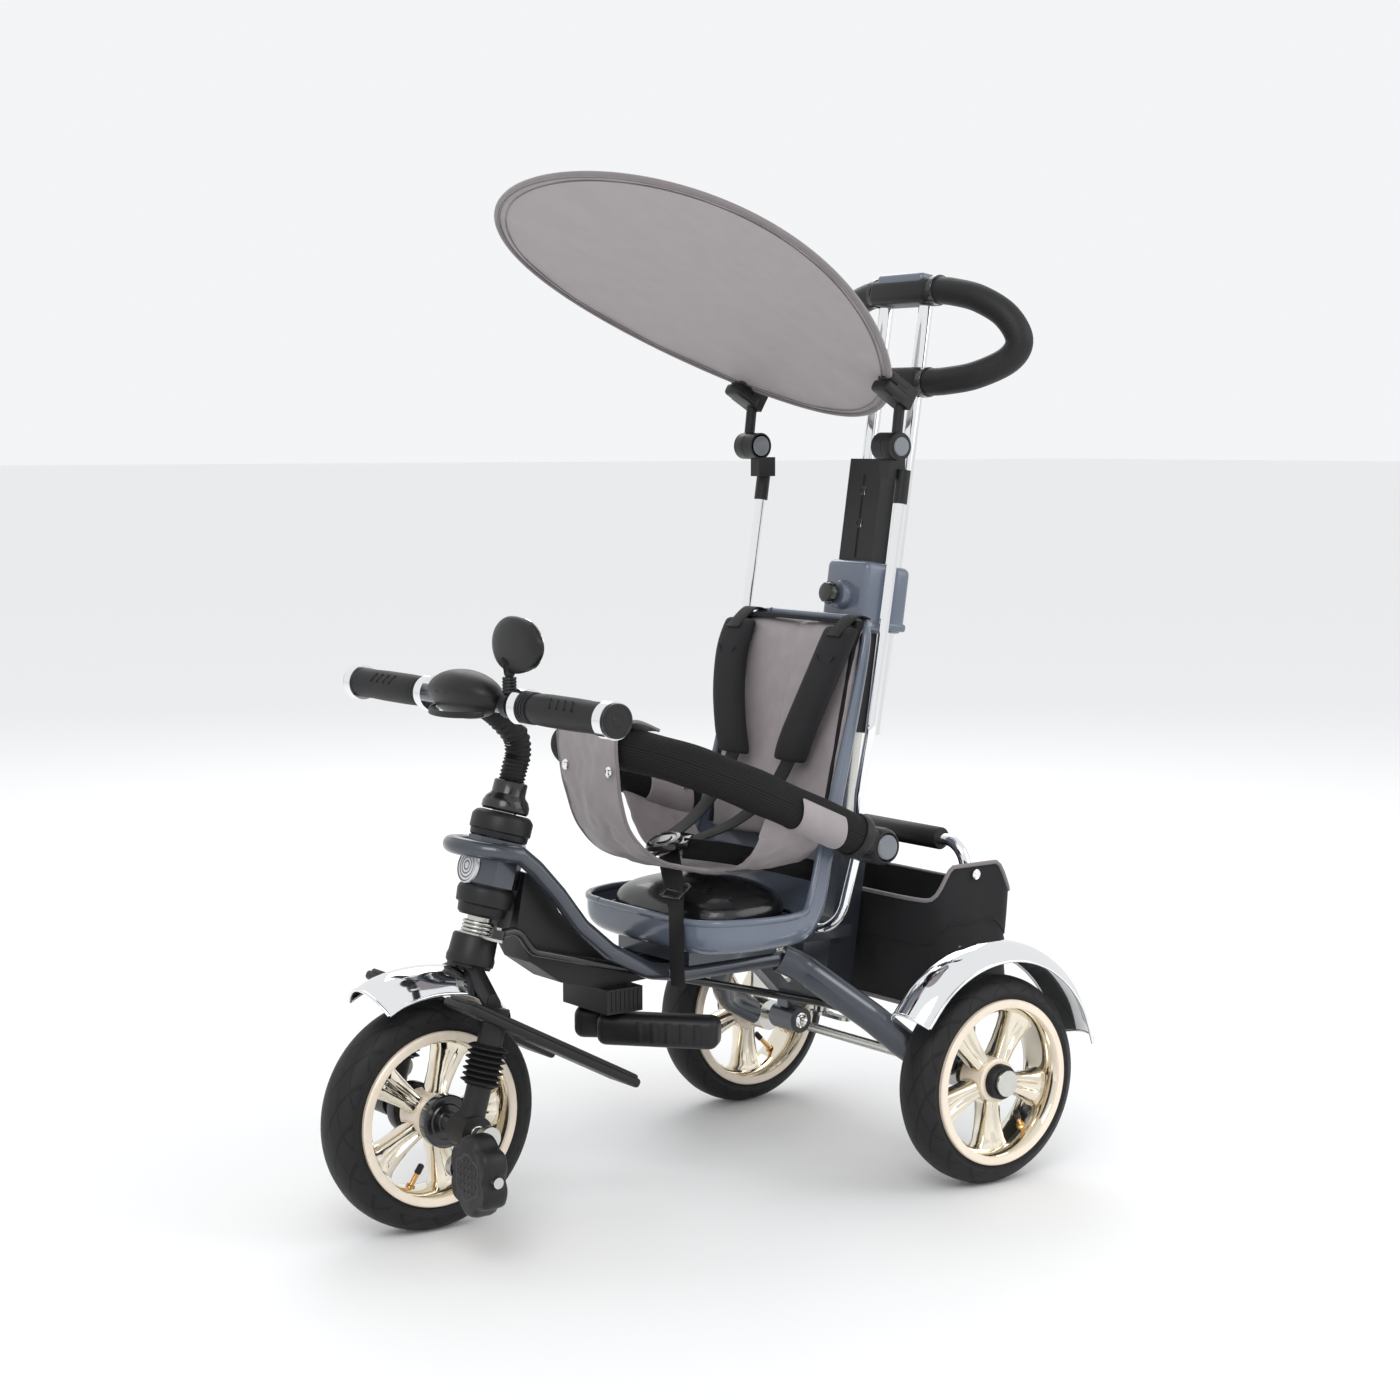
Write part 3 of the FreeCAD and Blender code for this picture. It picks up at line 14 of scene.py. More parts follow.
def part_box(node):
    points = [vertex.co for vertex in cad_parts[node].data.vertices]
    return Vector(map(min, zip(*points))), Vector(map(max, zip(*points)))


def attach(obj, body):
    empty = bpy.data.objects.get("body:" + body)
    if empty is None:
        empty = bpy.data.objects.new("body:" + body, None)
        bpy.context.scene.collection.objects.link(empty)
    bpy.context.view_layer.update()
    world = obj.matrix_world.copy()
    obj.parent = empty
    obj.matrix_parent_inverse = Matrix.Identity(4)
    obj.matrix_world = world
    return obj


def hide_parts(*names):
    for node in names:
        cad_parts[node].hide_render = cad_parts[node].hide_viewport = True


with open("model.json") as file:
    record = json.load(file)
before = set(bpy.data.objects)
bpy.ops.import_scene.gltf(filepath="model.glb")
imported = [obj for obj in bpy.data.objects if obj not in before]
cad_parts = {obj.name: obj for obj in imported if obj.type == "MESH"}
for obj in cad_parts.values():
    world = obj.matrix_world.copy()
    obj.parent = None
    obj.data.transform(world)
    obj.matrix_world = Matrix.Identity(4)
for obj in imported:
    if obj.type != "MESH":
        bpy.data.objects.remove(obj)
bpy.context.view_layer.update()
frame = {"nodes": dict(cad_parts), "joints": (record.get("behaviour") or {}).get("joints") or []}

bl_info = {
    "name": "Children's tricycle",
    "version": (1, 0, 0),
    "blender": (4, 5, 0),
    "location": "View3D > Sidebar > Tricycle",
    "description": "Builds a children's tricycle with a push bar, a sunshade and a basket",
    "category": "Add Mesh",
}

MM = 0.001
SIDES = (("left", 1), ("right", -1))
FRONT_LOW, FRONT_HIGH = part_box("front_tyre")
AXLE_Y = (FRONT_LOW[1] + FRONT_HIGH[1]) / 2
FRONT_RADIUS = (FRONT_HIGH[2] - FRONT_LOW[2]) / 2 / MM
REAR_LOW, REAR_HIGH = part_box("rear_tyre_left")
REAR_RADIUS = (REAR_HIGH[2] - REAR_LOW[2]) / 2 / MM
REAR_Y = ((REAR_LOW[1] + REAR_HIGH[1]) / 2 - AXLE_Y) / MM
TRACK_X = (REAR_LOW[0] + REAR_HIGH[0]) / 2 / MM
JOINTS = {joint["name"]: joint for joint in frame["joints"]}
HEAD_AXIS = Vector(JOINTS["steer"]["axis"]).normalized()
PUSH_AXIS = Vector(JOINTS["push_height"]["axis"]).normalized()
PUSH_BASE = Vector(JOINTS["push_turn"]["pos_m"])
PUSH_BACK = Vector((0, PUSH_AXIS.z, -PUSH_AXIS.y))
ACROSS = Vector((1, 0, 0))


def at(x, y, z):
    """A point from millimetres: x from the middle, y behind the front axle, z above the ground."""
    return Vector((x * MM, y * MM + AXLE_Y, z * MM))


def on_head(z, x=0.0, forward=0.0):
    """A point on or beside the steering axis, at the height z where the axis passes."""
    lean = HEAD_AXIS.y / HEAD_AXIS.z
    ahead = Vector((0, -HEAD_AXIS.z, HEAD_AXIS.y))
    return at(x, 8 + (z - 130) * lean, z) + ahead * (forward * MM)


def on_push(along, x=0.0, back=0.0):
    """A point on or beside the push bar's axis, measured up from its lever."""
    return PUSH_BASE + PUSH_AXIS * (along * MM) + PUSH_BACK * (back * MM) + ACROSS * (x * MM)


# ---------------------------------------------------------------- properties

class TricycleSizes(bpy.types.PropertyGroup):
    """Sizes that shape the looks without moving anything."""

    rim_bead: bpy.props.FloatProperty(
        name="Rim bead", description="Radius of the bead that finishes the seat shell's edge",
        default=0.0042, unit="LENGTH")
    spoke_pairs: bpy.props.IntProperty(
        name="Spoke pairs", description="Split spokes in each wheel", default=5, min=3, max=9)
    boot_folds: bpy.props.IntProperty(
        name="Boot folds", description="Folds of the stem's rubber boot", default=19, min=6, max=40)
    bellows_folds: bpy.props.IntProperty(
        name="Bellows folds", description="Folds of each fork bellows", default=7, min=3, max=14)
    cushion_swell: bpy.props.FloatProperty(
        name="Cushion swell", description="Furthest that the filling pushes the cushion's cover",
        default=0.009, unit="LENGTH")
    shade_sag: bpy.props.FloatProperty(
        name="Sunshade sag", description="How far the sunshade's cloth bows upward in its middle",
        default=0.010, unit="LENGTH")


def tint(name, description, colour):
    return bpy.props.FloatVectorProperty(
        name=name, description=description, subtype="COLOR", size=3, min=0.0, max=1.0, default=colour)


class TricycleColours(bpy.types.PropertyGroup):
    """Colours of the tricycle's finishes."""

    paint: tint("Frame paint", "Metallic paint on the steel frame", (0.060, 0.068, 0.084))
    shell: tint("Seat shell", "Glossy moulding of the seat and collar", (0.120, 0.142, 0.188))
    cloth: tint("Cloth", "Satin-faced canvas of the sunshade, sling and back cover", (0.330, 0.292, 0.304))
    nylon: tint("Nylon", "Moulded black parts", (0.009, 0.009, 0.010))
    tyre: tint("Tyre", "Tyre rubber", (0.008, 0.008, 0.009))
    plating: tint("Rim plating", "Warm plating of the rims", (0.86, 0.79, 0.66))
    lip: tint("Rim lip", "Painted outer ring of the rims", (0.84, 0.73, 0.60))


# ---------------------------------------------------------------- shader building

class Signal:
    """A value inside a material; sums and products of signals add the nodes that work them out."""

    def __init__(self, finish, socket):
        self.finish = finish
        self.socket = socket

    def sum_with(self, operation, other, swapped=False):
        values = (other, self) if swapped else (self, other)
        return self.finish.node("ShaderNodeMath", {"operation": operation}, *values)

    def __add__(self, other):
        return self.sum_with("ADD", other)

    def __radd__(self, other):
        return self.sum_with("ADD", other, True)

    def __sub__(self, other):
        return self.sum_with("SUBTRACT", other)

    def __rsub__(self, other):
        return self.sum_with("SUBTRACT", other, True)

    def __mul__(self, other):
        return self.sum_with("MULTIPLY", other)

    def __rmul__(self, other):
        return self.sum_with("MULTIPLY", other, True)

    def __truediv__(self, other):
        return self.sum_with("DIVIDE", other)

    def __pow__(self, other):
        return self.sum_with("POWER", other)

    def __gt__(self, other):
        return self.sum_with("GREATER_THAN", other)


class Finish:
    """One material, built node by node round its Principled shader."""

    def __init__(self, name, colour, roughness, metallic=0.0, **constants):
        self.material = bpy.data.materials.new(name)
        self.material.use_nodes = True
        self.tree = self.material.node_tree
        self.shader = self.tree.nodes["Principled BSDF"]
        self.shader.inputs["Base Color"].default_value = (*colour, 1.0)
        self.shader.inputs["Roughness"].default_value = roughness
        self.shader.inputs["Metallic"].default_value = metallic
        for socket, value in constants.items():
            self.shader.inputs[socket.replace("_", " ")].default_value = value

    def node(self, kind, settings, *values, output=0, **named):
        """Adds a node, sets it up, feeds its sockets in order or by name, and gives an output."""
        made = self.tree.nodes.new(kind)
        for key, value in settings.items():
            setattr(made, key, value)
        for index, value in enumerate(values):
            self.feed(made.inputs[index], value)
        for key, value in named.items():
            self.feed(made.inputs[key.replace("_", " ")], value)
        return Signal(self, made.outputs[output])

    def feed(self, socket, value):
        if isinstance(value, Signal):
            self.tree.links.new(value.socket, socket)
        elif value is not None:
            socket.default_value = value

    def place(self):
        return self.node("ShaderNodeTexCoord", {}, output="Object")

    def along(self):
        return self.node("ShaderNodeTexCoord", {}, output="UV")

    def parts(self, vector):
        split = self.node("ShaderNodeSeparateXYZ", {}, vector).socket.node
        return [Signal(self, socket) for socket in split.outputs]

    def noise(self, vector, scale, detail=3.0):
        return self.node("ShaderNodeTexNoise", {}, vector, Scale=scale, Detail=detail)

    def cells(self, vector, scale, feature="F1"):
        return self.node("ShaderNodeTexVoronoi", {"feature": feature}, Vector=vector, Scale=scale)

    def math(self, operation, *values):
        return self.node("ShaderNodeMath", {"operation": operation}, *values)

    def colours(self, factor, low, high):
        """A colour between two, by a factor."""
        made = self.tree.nodes.new("ShaderNodeMix")
        made.data_type = "RGBA"
        self.feed(made.inputs[0], factor)
        for socket, colour in ((made.inputs[6], low), (made.inputs[7], high)):
            self.feed(socket, colour if isinstance(colour, Signal) else (*colour, 1.0))
        return Signal(self, made.outputs[2])

    def between(self, factor, low, high):
        """A number between two, by a factor."""
        return factor * (high - low) + low

    def set(self, socket, value):
        self.feed(self.shader.inputs[socket], value)
        return self

    def bump(self, height, depth, strength=1.0):
        """Raises the surface by height times depth, in metres."""
        normal = self.node("ShaderNodeBump", {}, Strength=strength, Distance=depth, Height=height)
        return self.set("Normal", normal)


def shaded(colour, factor):
    return tuple(channel * factor for channel in colour)


def wear(finish, colour, roughness, spread=0.12, scale=18.0):
    """Uneven gloss and tone, as on a handled surface."""
    patches = finish.noise(finish.place(), scale, 5.0)
    finish.set("Base Color", finish.colours(patches, shaded(colour, 0.88), shaded(colour, 1.12)))
    finish.set("Roughness", finish.between(patches, roughness - spread / 2, roughness + spread / 2))
    return patches


def paint_finish(colour):
    """Metallic paint: fine flakes below a clear coat."""
    finish = Finish("frame_paint", colour, 0.3, 0.55, Coat_Weight=0.6, Coat_Roughness=0.08)
    flakes = finish.cells(finish.place(), 2600.0)
    wear(finish, colour, 0.30)
    return finish.bump(flakes, 0.00003, 0.35).material


def gloss_finish(colour):
    """Glossy coloured moulding with faint flow marks."""
    finish = Finish("shell_plastic", colour, 0.2, 0.0, Coat_Weight=0.35, Coat_Roughness=0.06)
    wear(finish, colour, 0.20, 0.10, 9.0)
    ripple = finish.noise(finish.place(), 70.0, 2.0)
    return finish.bump(ripple, 0.00025, 0.25).material


def nylon_finish(colour):
    """Spark-eroded nylon with a fine grain."""
    finish = Finish("black_nylon", colour, 0.42, Specular_IOR_Level=0.36)
    wear(finish, colour, 0.42, 0.16, 30.0)
    grain = finish.cells(finish.place(), 900.0)
    return finish.bump(grain, 0.00012, 0.5).material


def gloss_black_finish(colour):
    finish = Finish("black_gloss", colour, 0.22, 0.0, Coat_Weight=0.3)
    wear(finish, colour, 0.22, 0.10, 14.0)
    ripple = finish.noise(finish.place(), 55.0, 2.0)
    return finish.bump(ripple, 0.0003, 0.3).material


def rubber_finish(name, colour):
    finish = Finish(name, colour, 0.55, Specular_IOR_Level=0.32)
    wear(finish, colour, 0.55, 0.14, 40.0)
    grain = finish.noise(finish.place(), 1200.0, 2.0)
    return finish.bump(grain, 0.0001, 0.5).material


def foam_finish(colour):
    """Skinned foam: small closed pores."""
    finish = Finish("handle_foam", colour, 0.5, Specular_IOR_Level=0.36)
    wear(finish, colour, 0.5, 0.12, 25.0)
    pores = finish.cells(finish.place(), 420.0)
    return finish.bump(pores, 0.0005, 0.55).material


def chrome_finish():
    finish = Finish("chrome", (0.86, 0.87, 0.88), 0.05, 1.0)
    haze = finish.noise(finish.place(), 24.0, 5.0)
    finish.set("Roughness", finish.between(haze, 0.02, 0.10))
    wave = finish.noise(finish.place(), 14.0, 1.0)
    return finish.bump(wave, 0.0006, 0.2).material


def plating_finish(colour):
    """Warm plating over a moulded rim, slightly wavy."""
    finish = Finish("rim_plating", colour, 0.08, 1.0)
    haze = finish.noise(finish.place(), 30.0, 4.0)
    finish.set("Roughness", finish.between(haze, 0.04, 0.15))
    finish.set("Base Color", finish.colours(haze, shaded(colour, 0.86), colour))
    wave = finish.noise(finish.place(), 20.0, 1.0)
    return finish.bump(wave, 0.0008, 0.3).material


def lip_finish(colour):
    finish = Finish("rim_lip", colour, 0.28, 0.0, Coat_Weight=0.4)
    wear(finish, colour, 0.28, 0.08, 20.0)
    grain = finish.noise(finish.place(), 300.0, 2.0)
    return finish.bump(grain, 0.00008, 0.3).material


def zinc_finish():
    """Zinc-plated steel with a drawn grain and a faint tarnish."""
    colour = (0.60, 0.60, 0.58)
    finish = Finish("zinc", colour, 0.25, 1.0)
    tarnish = finish.noise(finish.place(), 60.0, 4.0)
    finish.set("Base Color", finish.colours(tarnish, (0.52, 0.55, 0.58), (0.66, 0.63, 0.54)))
    finish.set("Roughness", finish.between(tarnish, 0.16, 0.36))
    grain = finish.noise(finish.place(), 500.0, 2.0)
    return finish.bump(grain, 0.00008, 0.4).material


def brass_finish():
    colour = (0.62, 0.38, 0.16)
    finish = Finish("brass", colour, 0.25, 1.0)
    wear(finish, colour, 0.26, 0.14, 90.0)
    return finish.material


def disc_finish():
    colour = (0.17, 0.18, 0.205)
    finish = Finish("grey_disc", colour, 0.35)
    wear(finish, colour, 0.35, 0.1, 60.0)
    return finish.material


def tyre_finish(name, colour, centre, radius):
    """Road tyre: curved sipes round the crown, painted darker as painted shade, fine rings on the wall."""
    finish = Finish(name, colour, 0.55, Specular_IOR_Level=0.34)
    x, y, z = finish.parts(finish.place())
    off_y = y - centre.y
    off_z = z - centre.z
    turn = finish.math("ARCTAN2", off_z, off_y)
    reach = finish.math("SQRT", off_y * off_y + off_z * off_z)
    side = finish.math("ABSOLUTE", x - centre.x)
    swirl = turn * 16.0 + side * 330.0
    sipe = finish.math("SINE", swirl) > 0.90
    second = finish.math("SINE", turn * 16.0 - side * 520.0 + 1.3) > 0.955
    crown = reach > (radius - 19.0) * MM
    groove = finish.math("MAXIMUM", sipe, second) * crown
    rings = finish.math("SINE", reach * 2600.0) * (1.0 - crown) * 0.12
    split = finish.math("ABSOLUTE", side - 0.0052) > 0.0008
    height = (1.0 - groove) * 0.9 + rings + split * 0.1
    dust = finish.noise(finish.place(), 46.0, 5.0)
    tone = finish.colours(dust, shaded(colour, 0.8), shaded(colour, 1.5))
    # painted shade: the sipe grooves are coloured far darker than the rubber around them
    finish.set("Base Color", finish.colours(groove, tone, shaded(colour, 0.3)))
    finish.set("Roughness", finish.between(dust, 0.45, 0.68))
    return finish.bump(height, 0.0022, 0.9).material


def cloth_finish(name, colour, gloss=0.0):
    """Satin-faced canvas: a fine twill with soft creases and uneven tone."""
    finish = Finish(name, colour, 0.6, 0.0, Sheen_Weight=0.35, Sheen_Roughness=0.4)
    place = finish.place()
    x, y, z = finish.parts(place)
    warp = finish.math("SINE", (x + z) * 5200.0)
    weft = finish.math("SINE", (y - z) * 5200.0)
    twill = warp * weft
    crease = finish.noise(place, 16.0, 3.0)
    patch = finish.noise(place, 48.0, 4.0)
    tone = finish.colours(patch, shaded(colour, 0.86), shaded(colour, 1.12))
    finish.set("Base Color", tone)
    finish.set("Roughness", finish.between(patch, 0.52 - gloss, 0.70 - gloss))
    height = twill * 0.04 + crease + patch * 0.14
    return finish.bump(height, 0.0035, 0.6).material


def canvas_finish():
    """Black polyester canvas with a plain weave, painted darker in the crease hollows as painted shade."""
    finish = Finish("black_canvas", (0.012, 0.012, 0.013), 0.75, 0.0, Sheen_Weight=0.05,
                    Specular_IOR_Level=0.25)
    place = finish.place()
    x, y, z = finish.parts(place)
    weave = finish.math("SINE", (x + y) * 3600.0) * finish.math("SINE", z * 3600.0)
    crease = finish.noise(place, 20.0, 3.0)
    # painted shade: the noise that raises the creases also darkens the canvas in their hollows and lightens
    # it on their ridges
    finish.set("Base Color", finish.colours(crease, (0.008, 0.008, 0.009), (0.019, 0.019, 0.021)))
    finish.set("Roughness", finish.between(crease, 0.66, 0.84))
    return finish.bump(weave * 0.08 + crease, 0.003, 0.6).material


def vinyl_finish():
    """Glossy black vinyl with a leather grain."""
    finish = Finish("black_vinyl", (0.010, 0.010, 0.011), 0.24, 0.0, Coat_Weight=0.25)
    place = finish.place()
    grain = finish.cells(place, 520.0, "SMOOTH_F1")
    pull = finish.noise(place, 22.0, 3.0)
    finish.set("Roughness", finish.between(pull, 0.18, 0.34))
    finish.set("Base Color", finish.colours(grain, (0.006, 0.006, 0.007), (0.014, 0.014, 0.015)))
    return finish.bump(grain * 0.2 + pull, 0.0012, 0.4).material


def mesh_finish():
    """Spacer mesh: rows of small rounded holes that follow the tube, painted darker inside as painted shade.
    """
    colour = (0.012, 0.012, 0.013)
    finish = Finish("black_mesh", colour, 0.75, Specular_IOR_Level=0.2)
    u, v, _ = finish.parts(finish.along())
    first = finish.math("SINE", (u * 0.55 + v) * 1900.0)
    second = finish.math("SINE", (u * 0.55 - v) * 1900.0)
    holes = (first * second + 1.0) * 0.5
    # painted shade: the sunken holes are coloured darker than the mesh face around them
    finish.set("Base Color", finish.colours(holes, (0.003, 0.003, 0.003), (0.024, 0.024, 0.026)))
    finish.set("Roughness", finish.between(holes, 0.9, 0.7))
    return finish.bump(holes, 0.0010, 0.9).material


def webbing_finish():
    """Woven webbing: herringbone ribs along the strap."""
    finish = Finish("webbing", (0.010, 0.010, 0.011), 0.62, Specular_IOR_Level=0.3)
    u, v, _ = finish.parts(finish.along())
    chevron = finish.math("SINE", (finish.math("ABSOLUTE", u - 0.0125) * 0.9 + v) * 3000.0)
    finish.set("Base Color", finish.colours(chevron, (0.006, 0.006, 0.007), (0.018, 0.018, 0.020)))
    finish.set("Roughness", finish.between(chevron, 0.55, 0.72))
    return finish.bump(chevron, 0.0006, 0.8).material


def badge_finish(centre):
    """Silver badge with plain concentric rings."""
    finish = Finish("badge", (0.7, 0.7, 0.7), 0.3, 0.3)
    off = finish.node("ShaderNodeVectorMath", {"operation": "DISTANCE"}, finish.place(), tuple(centre),
                      output="Value")
    rings = finish.math("SINE", off * 1500.0) > 0.35
    finish.set("Base Color", finish.colours(rings, (0.62, 0.63, 0.64), (0.10, 0.10, 0.11)))
    return finish.bump(rings, 0.0003, 0.5).material


def mirror_finish():
    finish = Finish("mirror_face", (0.9, 0.92, 0.93), 0.02, 1.0)
    smear = finish.noise(finish.place(), 60.0, 3.0)
    return finish.set("Roughness", finish.between(smear, 0.01, 0.06)).material


FINISHES = {}


def make_finishes(colours):
    """Makes every shared finish once."""
    FINISHES.update(
        paint=paint_finish(tuple(colours.paint)), shell=gloss_finish(tuple(colours.shell)),
        nylon=nylon_finish(tuple(colours.nylon)), gloss=gloss_black_finish(tuple(colours.nylon)),
        rubber=rubber_finish("black_rubber", tuple(colours.nylon)),
        tread=rubber_finish("pedal_tread", (0.040, 0.040, 0.042)), foam=foam_finish(tuple(colours.nylon)),
        chrome=chrome_finish(), plating=plating_finish(tuple(colours.plating)),
        lip=lip_finish(tuple(colours.lip)), zinc=zinc_finish(), brass=brass_finish(), disc=disc_finish(),
        cloth=cloth_finish("grey_cloth", tuple(colours.cloth), 0.12),
        binding=cloth_finish("binding_tape", shaded(tuple(colours.cloth), 0.62)),
        canvas=canvas_finish(), vinyl=vinyl_finish(), mesh=mesh_finish(), webbing=webbing_finish(),
        mirror=mirror_finish())


# ---------------------------------------------------------------- modelling helpers

def only(piece):
    """Selects one object alone and makes it active."""
    bpy.ops.object.select_all(action="DESELECT")
    piece.select_set(True)
    bpy.context.view_layer.objects.active = piece


def apply(piece, kind, **settings):
    """Adds a modifier and applies it."""
    only(piece)
    modifier = piece.modifiers.new(kind.lower(), kind)
    for key, value in settings.items():
        setattr(modifier, key, value)
    bpy.ops.object.modifier_apply(modifier=modifier.name)
    return piece


def soften(piece, width, segments=3, angle=30.0):
    return apply(piece, "BEVEL", width=width * MM, segments=segments, limit_method="ANGLE",
                 angle_limit=math.radians(angle), harden_normals=False)


def smooth(piece, angle=38.0):
    only(piece)
    bpy.ops.object.shade_smooth_by_angle(angle=math.radians(angle))
    return piece


def subdivide(piece, levels=1):
    return apply(piece, "SUBSURF", levels=levels, render_levels=levels)


def face_outward(piece, merge=False):
    """Turns the faces outward, after merging doubles if asked."""
    only(piece)
    bpy.ops.object.mode_set(mode="EDIT")
    bpy.ops.mesh.select_all(action="SELECT")
    if merge:
        bpy.ops.mesh.remove_doubles(threshold=0.00001)
    bpy.ops.mesh.normals_make_consistent(inside=False)
    bpy.ops.object.mode_set(mode="OBJECT")
    return piece


def placed(name, mesh):
    """A new object around a mesh, in the scene."""
    piece = bpy.data.objects.new(name, mesh)
    bpy.context.collection.objects.link(piece)
    return piece


def settle(piece):
    """Moves a piece's place into its mesh."""
    only(piece)
    bpy.ops.object.transform_apply(location=True, rotation=True, scale=True)
    return piece


def finish_piece(piece, name, body, finish, stands_for=(), angle=38.0):
    """Names a piece, gives it its finish and hangs it on its body."""
    smooth(piece, angle)
    piece.name = name
    piece.data.name = name
    piece.data.materials.clear()
    piece.data.materials.append(FINISHES[finish] if isinstance(finish, str) else finish)
    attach(piece, body)
    if stands_for:
        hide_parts(*stands_for)
    return piece


def joined(pieces):
    """Joins several pieces into the first."""
    only(pieces[0])
    for piece in pieces:
        piece.select_set(True)
    bpy.ops.object.join()
    return bpy.context.view_layer.objects.active


def turned(direction, up=Vector((0, 0, 1))):
    """The turn that takes Z to a direction and keeps X level where it can."""
    forward = direction.normalized()
    side = up.cross(forward)
    if side.length < 0.001:
        side = ACROSS.copy()
    side.normalize()
    return Matrix((side, forward.cross(side), forward)).transposed().to_4x4()


def block(size, centre, turn=None, round_edge=2.0, segments=3):
    """A rounded block: a cube resized and bevelled."""
    bpy.ops.object.select_all(action="DESELECT")
    bpy.ops.mesh.primitive_cube_add(size=1.0)
    piece = bpy.context.object
    piece.scale = Vector(size) * MM
    settle(piece)
    soften(piece, round_edge, segments)
    piece.matrix_world = Matrix.Translation(centre) @ (turn or Matrix())
    return settle(piece)


def lathe(profile, centre, axis=ACROSS, steps=64):
    """A turned piece: a profile of (along, radius) in millimetres, spun round the axis."""
    mesh = bpy.data.meshes.new("turning")
    points = [Vector((radius * MM, 0, along * MM)) for along, radius in profile]
    count = len(points)
    ends_on_axis = profile[0][1] == 0 and profile[-1][1] == 0
    edges = [(index, index + 1) for index in range(count - 1)]
    if not ends_on_axis:
        edges.append((count - 1, 0))
    mesh.from_pydata(points, edges, [])
    piece = placed("turning", mesh)
    only(piece)
    bpy.ops.object.mode_set(mode="EDIT")
    bpy.ops.mesh.select_all(action="SELECT")
    bpy.ops.mesh.spin(steps=steps, angle=2 * math.pi, center=(0, 0, 0), axis=(0, 0, 1))
    bpy.ops.object.mode_set(mode="OBJECT")
    face_outward(piece, merge=True)
    piece.matrix_world = Matrix.Translation(centre) @ turned(axis)
    return settle(piece)


def skin(rings, closed_ring=True, capped=True, looped=False):
    """A surface through rings of points, with a UV map in metres round and along it."""
    mesh = bpy.data.meshes.new("skin")
    width = len(rings[0])
    points = [point for ring in rings for point in ring]
    around = width if closed_ring else width - 1
    rows = len(rings) if looped else len(rings) - 1
    faces = []
    for row in range(rows):
        low = row * width
        high = ((row + 1) % len(rings)) * width
        for column in range(around):
            following = (column + 1) % width
            faces.append((low + column, low + following, high + following, high + column))
    if closed_ring and capped and not looped:
        faces.append(tuple(range(width - 1, -1, -1)))
        faces.append(tuple(range((len(rings) - 1) * width, len(rings) * width)))
    mesh.from_pydata(points, [], faces)
    lengths = [0.0]
    for row in range(rows):
        first = rings[row][0]
        second = rings[(row + 1) % len(rings)][0]
        lengths.append(lengths[-1] + (second - first).length)
    girth = [0.0]
    for column in range(around):
        girth.append(girth[-1] + (rings[0][(column + 1) % width] - rings[0][column]).length)
    layer = mesh.uv_layers.new(name="UVMap")
    for index in range(rows * around):
        row, column = divmod(index, around)
        corners = ((column, row), (column + 1, row), (column + 1, row + 1), (column, row + 1))
        for loop, (across, along) in zip(mesh.polygons[index].loop_indices, corners):
            layer.data[loop].uv = (girth[across], lengths[along])
    return face_outward(placed("skin", mesh))


def curve_points(points, count):
    """Points spaced along a smooth curve through the given ones."""
    result = []
    spans = len(points) - 1
    for index in range(count):
        place = index / (count - 1) * spans
        span = min(int(place), spans - 1)
        share = place - span
        before = points[max(span - 1, 0)]
        start = points[span]
        end = points[span + 1]
        after = points[min(span + 2, spans)]
        result.append(0.5 * (2 * start + (end - before) * share
                             + (2 * before - 5 * start + 4 * end - after) * share ** 2
                             + (3 * start - before - 3 * end + after) * share ** 3))
    return result


def frames_along(points, closed=False):
    """A side and an up direction at each point of a route, carried along without twisting."""
    count = len(points)
    directions = []
    for index in range(count):
        before = points[index - 1] if closed or index else points[index]
        after = points[(index + 1) % count] if closed or index < count - 1 else points[index]
        directions.append((after - before).normalized())
    guide = Vector((0, 0, 1)) if abs(directions[0].z) < 0.9 else Vector((0, 1, 0))
    side = guide.cross(directions[0]).normalized()
    result = []
    for direction in directions:
        side = (side - direction * side.dot(direction)).normalized()
        result.append((side, direction.cross(side)))
    return result


def oval_reach(angle, half_x, half_y, power):
    """How far a squared oval reaches from its middle at an angle."""
    across, along = abs(math.cos(angle)) / half_x, abs(math.sin(angle)) / half_y
    return 1.0 / (across ** power + along ** power) ** (1 / power)


def tube(points, radius, sides=20, closed=False):
    """A tube along a route; the radius is in millimetres, or a function of the share travelled."""
    rings = []
    for index, (point, (side, up)) in enumerate(zip(points, frames_along(points, closed))):
        share = index / (len(points) - 1)
        size = (radius(share) if callable(radius) else radius) * MM
        ring = []
        for step in range(sides):
            angle = 2 * math.pi * step / sides
            ring.append(point + side * (math.cos(angle) * size) + up * (math.sin(angle) * size))
        rings.append(ring)
    return skin(rings, looped=closed)


def ribbon(points, width, thickness, side=ACROSS):
    """A flat strap along a route; its width lies along the side direction."""
    rings = []
    for index, point in enumerate(points):
        before = points[max(index - 1, 0)]
        after = points[min(index + 1, len(points) - 1)]
        direction = (after - before).normalized()
        across = (side - direction * side.dot(direction)).normalized() * (width / 2 * MM)
        normal = direction.cross(across).normalized() * (thickness / 2 * MM)
        rings.append([point - across - normal, point + across - normal,
                      point + across + normal, point - across + normal])
    return skin(rings)


def cloth_surface(shape, columns, rows, thickness, folds=0):
    """An open sheet: shape(u, v) gives its points; it is thickened to a cloth."""
    rings = []
    for row in range(rows + 1):
        rings.append([shape(row / rows, column / columns) for column in range(columns + 1)])
    piece = skin(rings, closed_ring=False)
    apply(piece, "SOLIDIFY", thickness=thickness * MM, offset=0.0, use_even_offset=True)
    if folds:
        subdivide(piece, folds)
    return piece


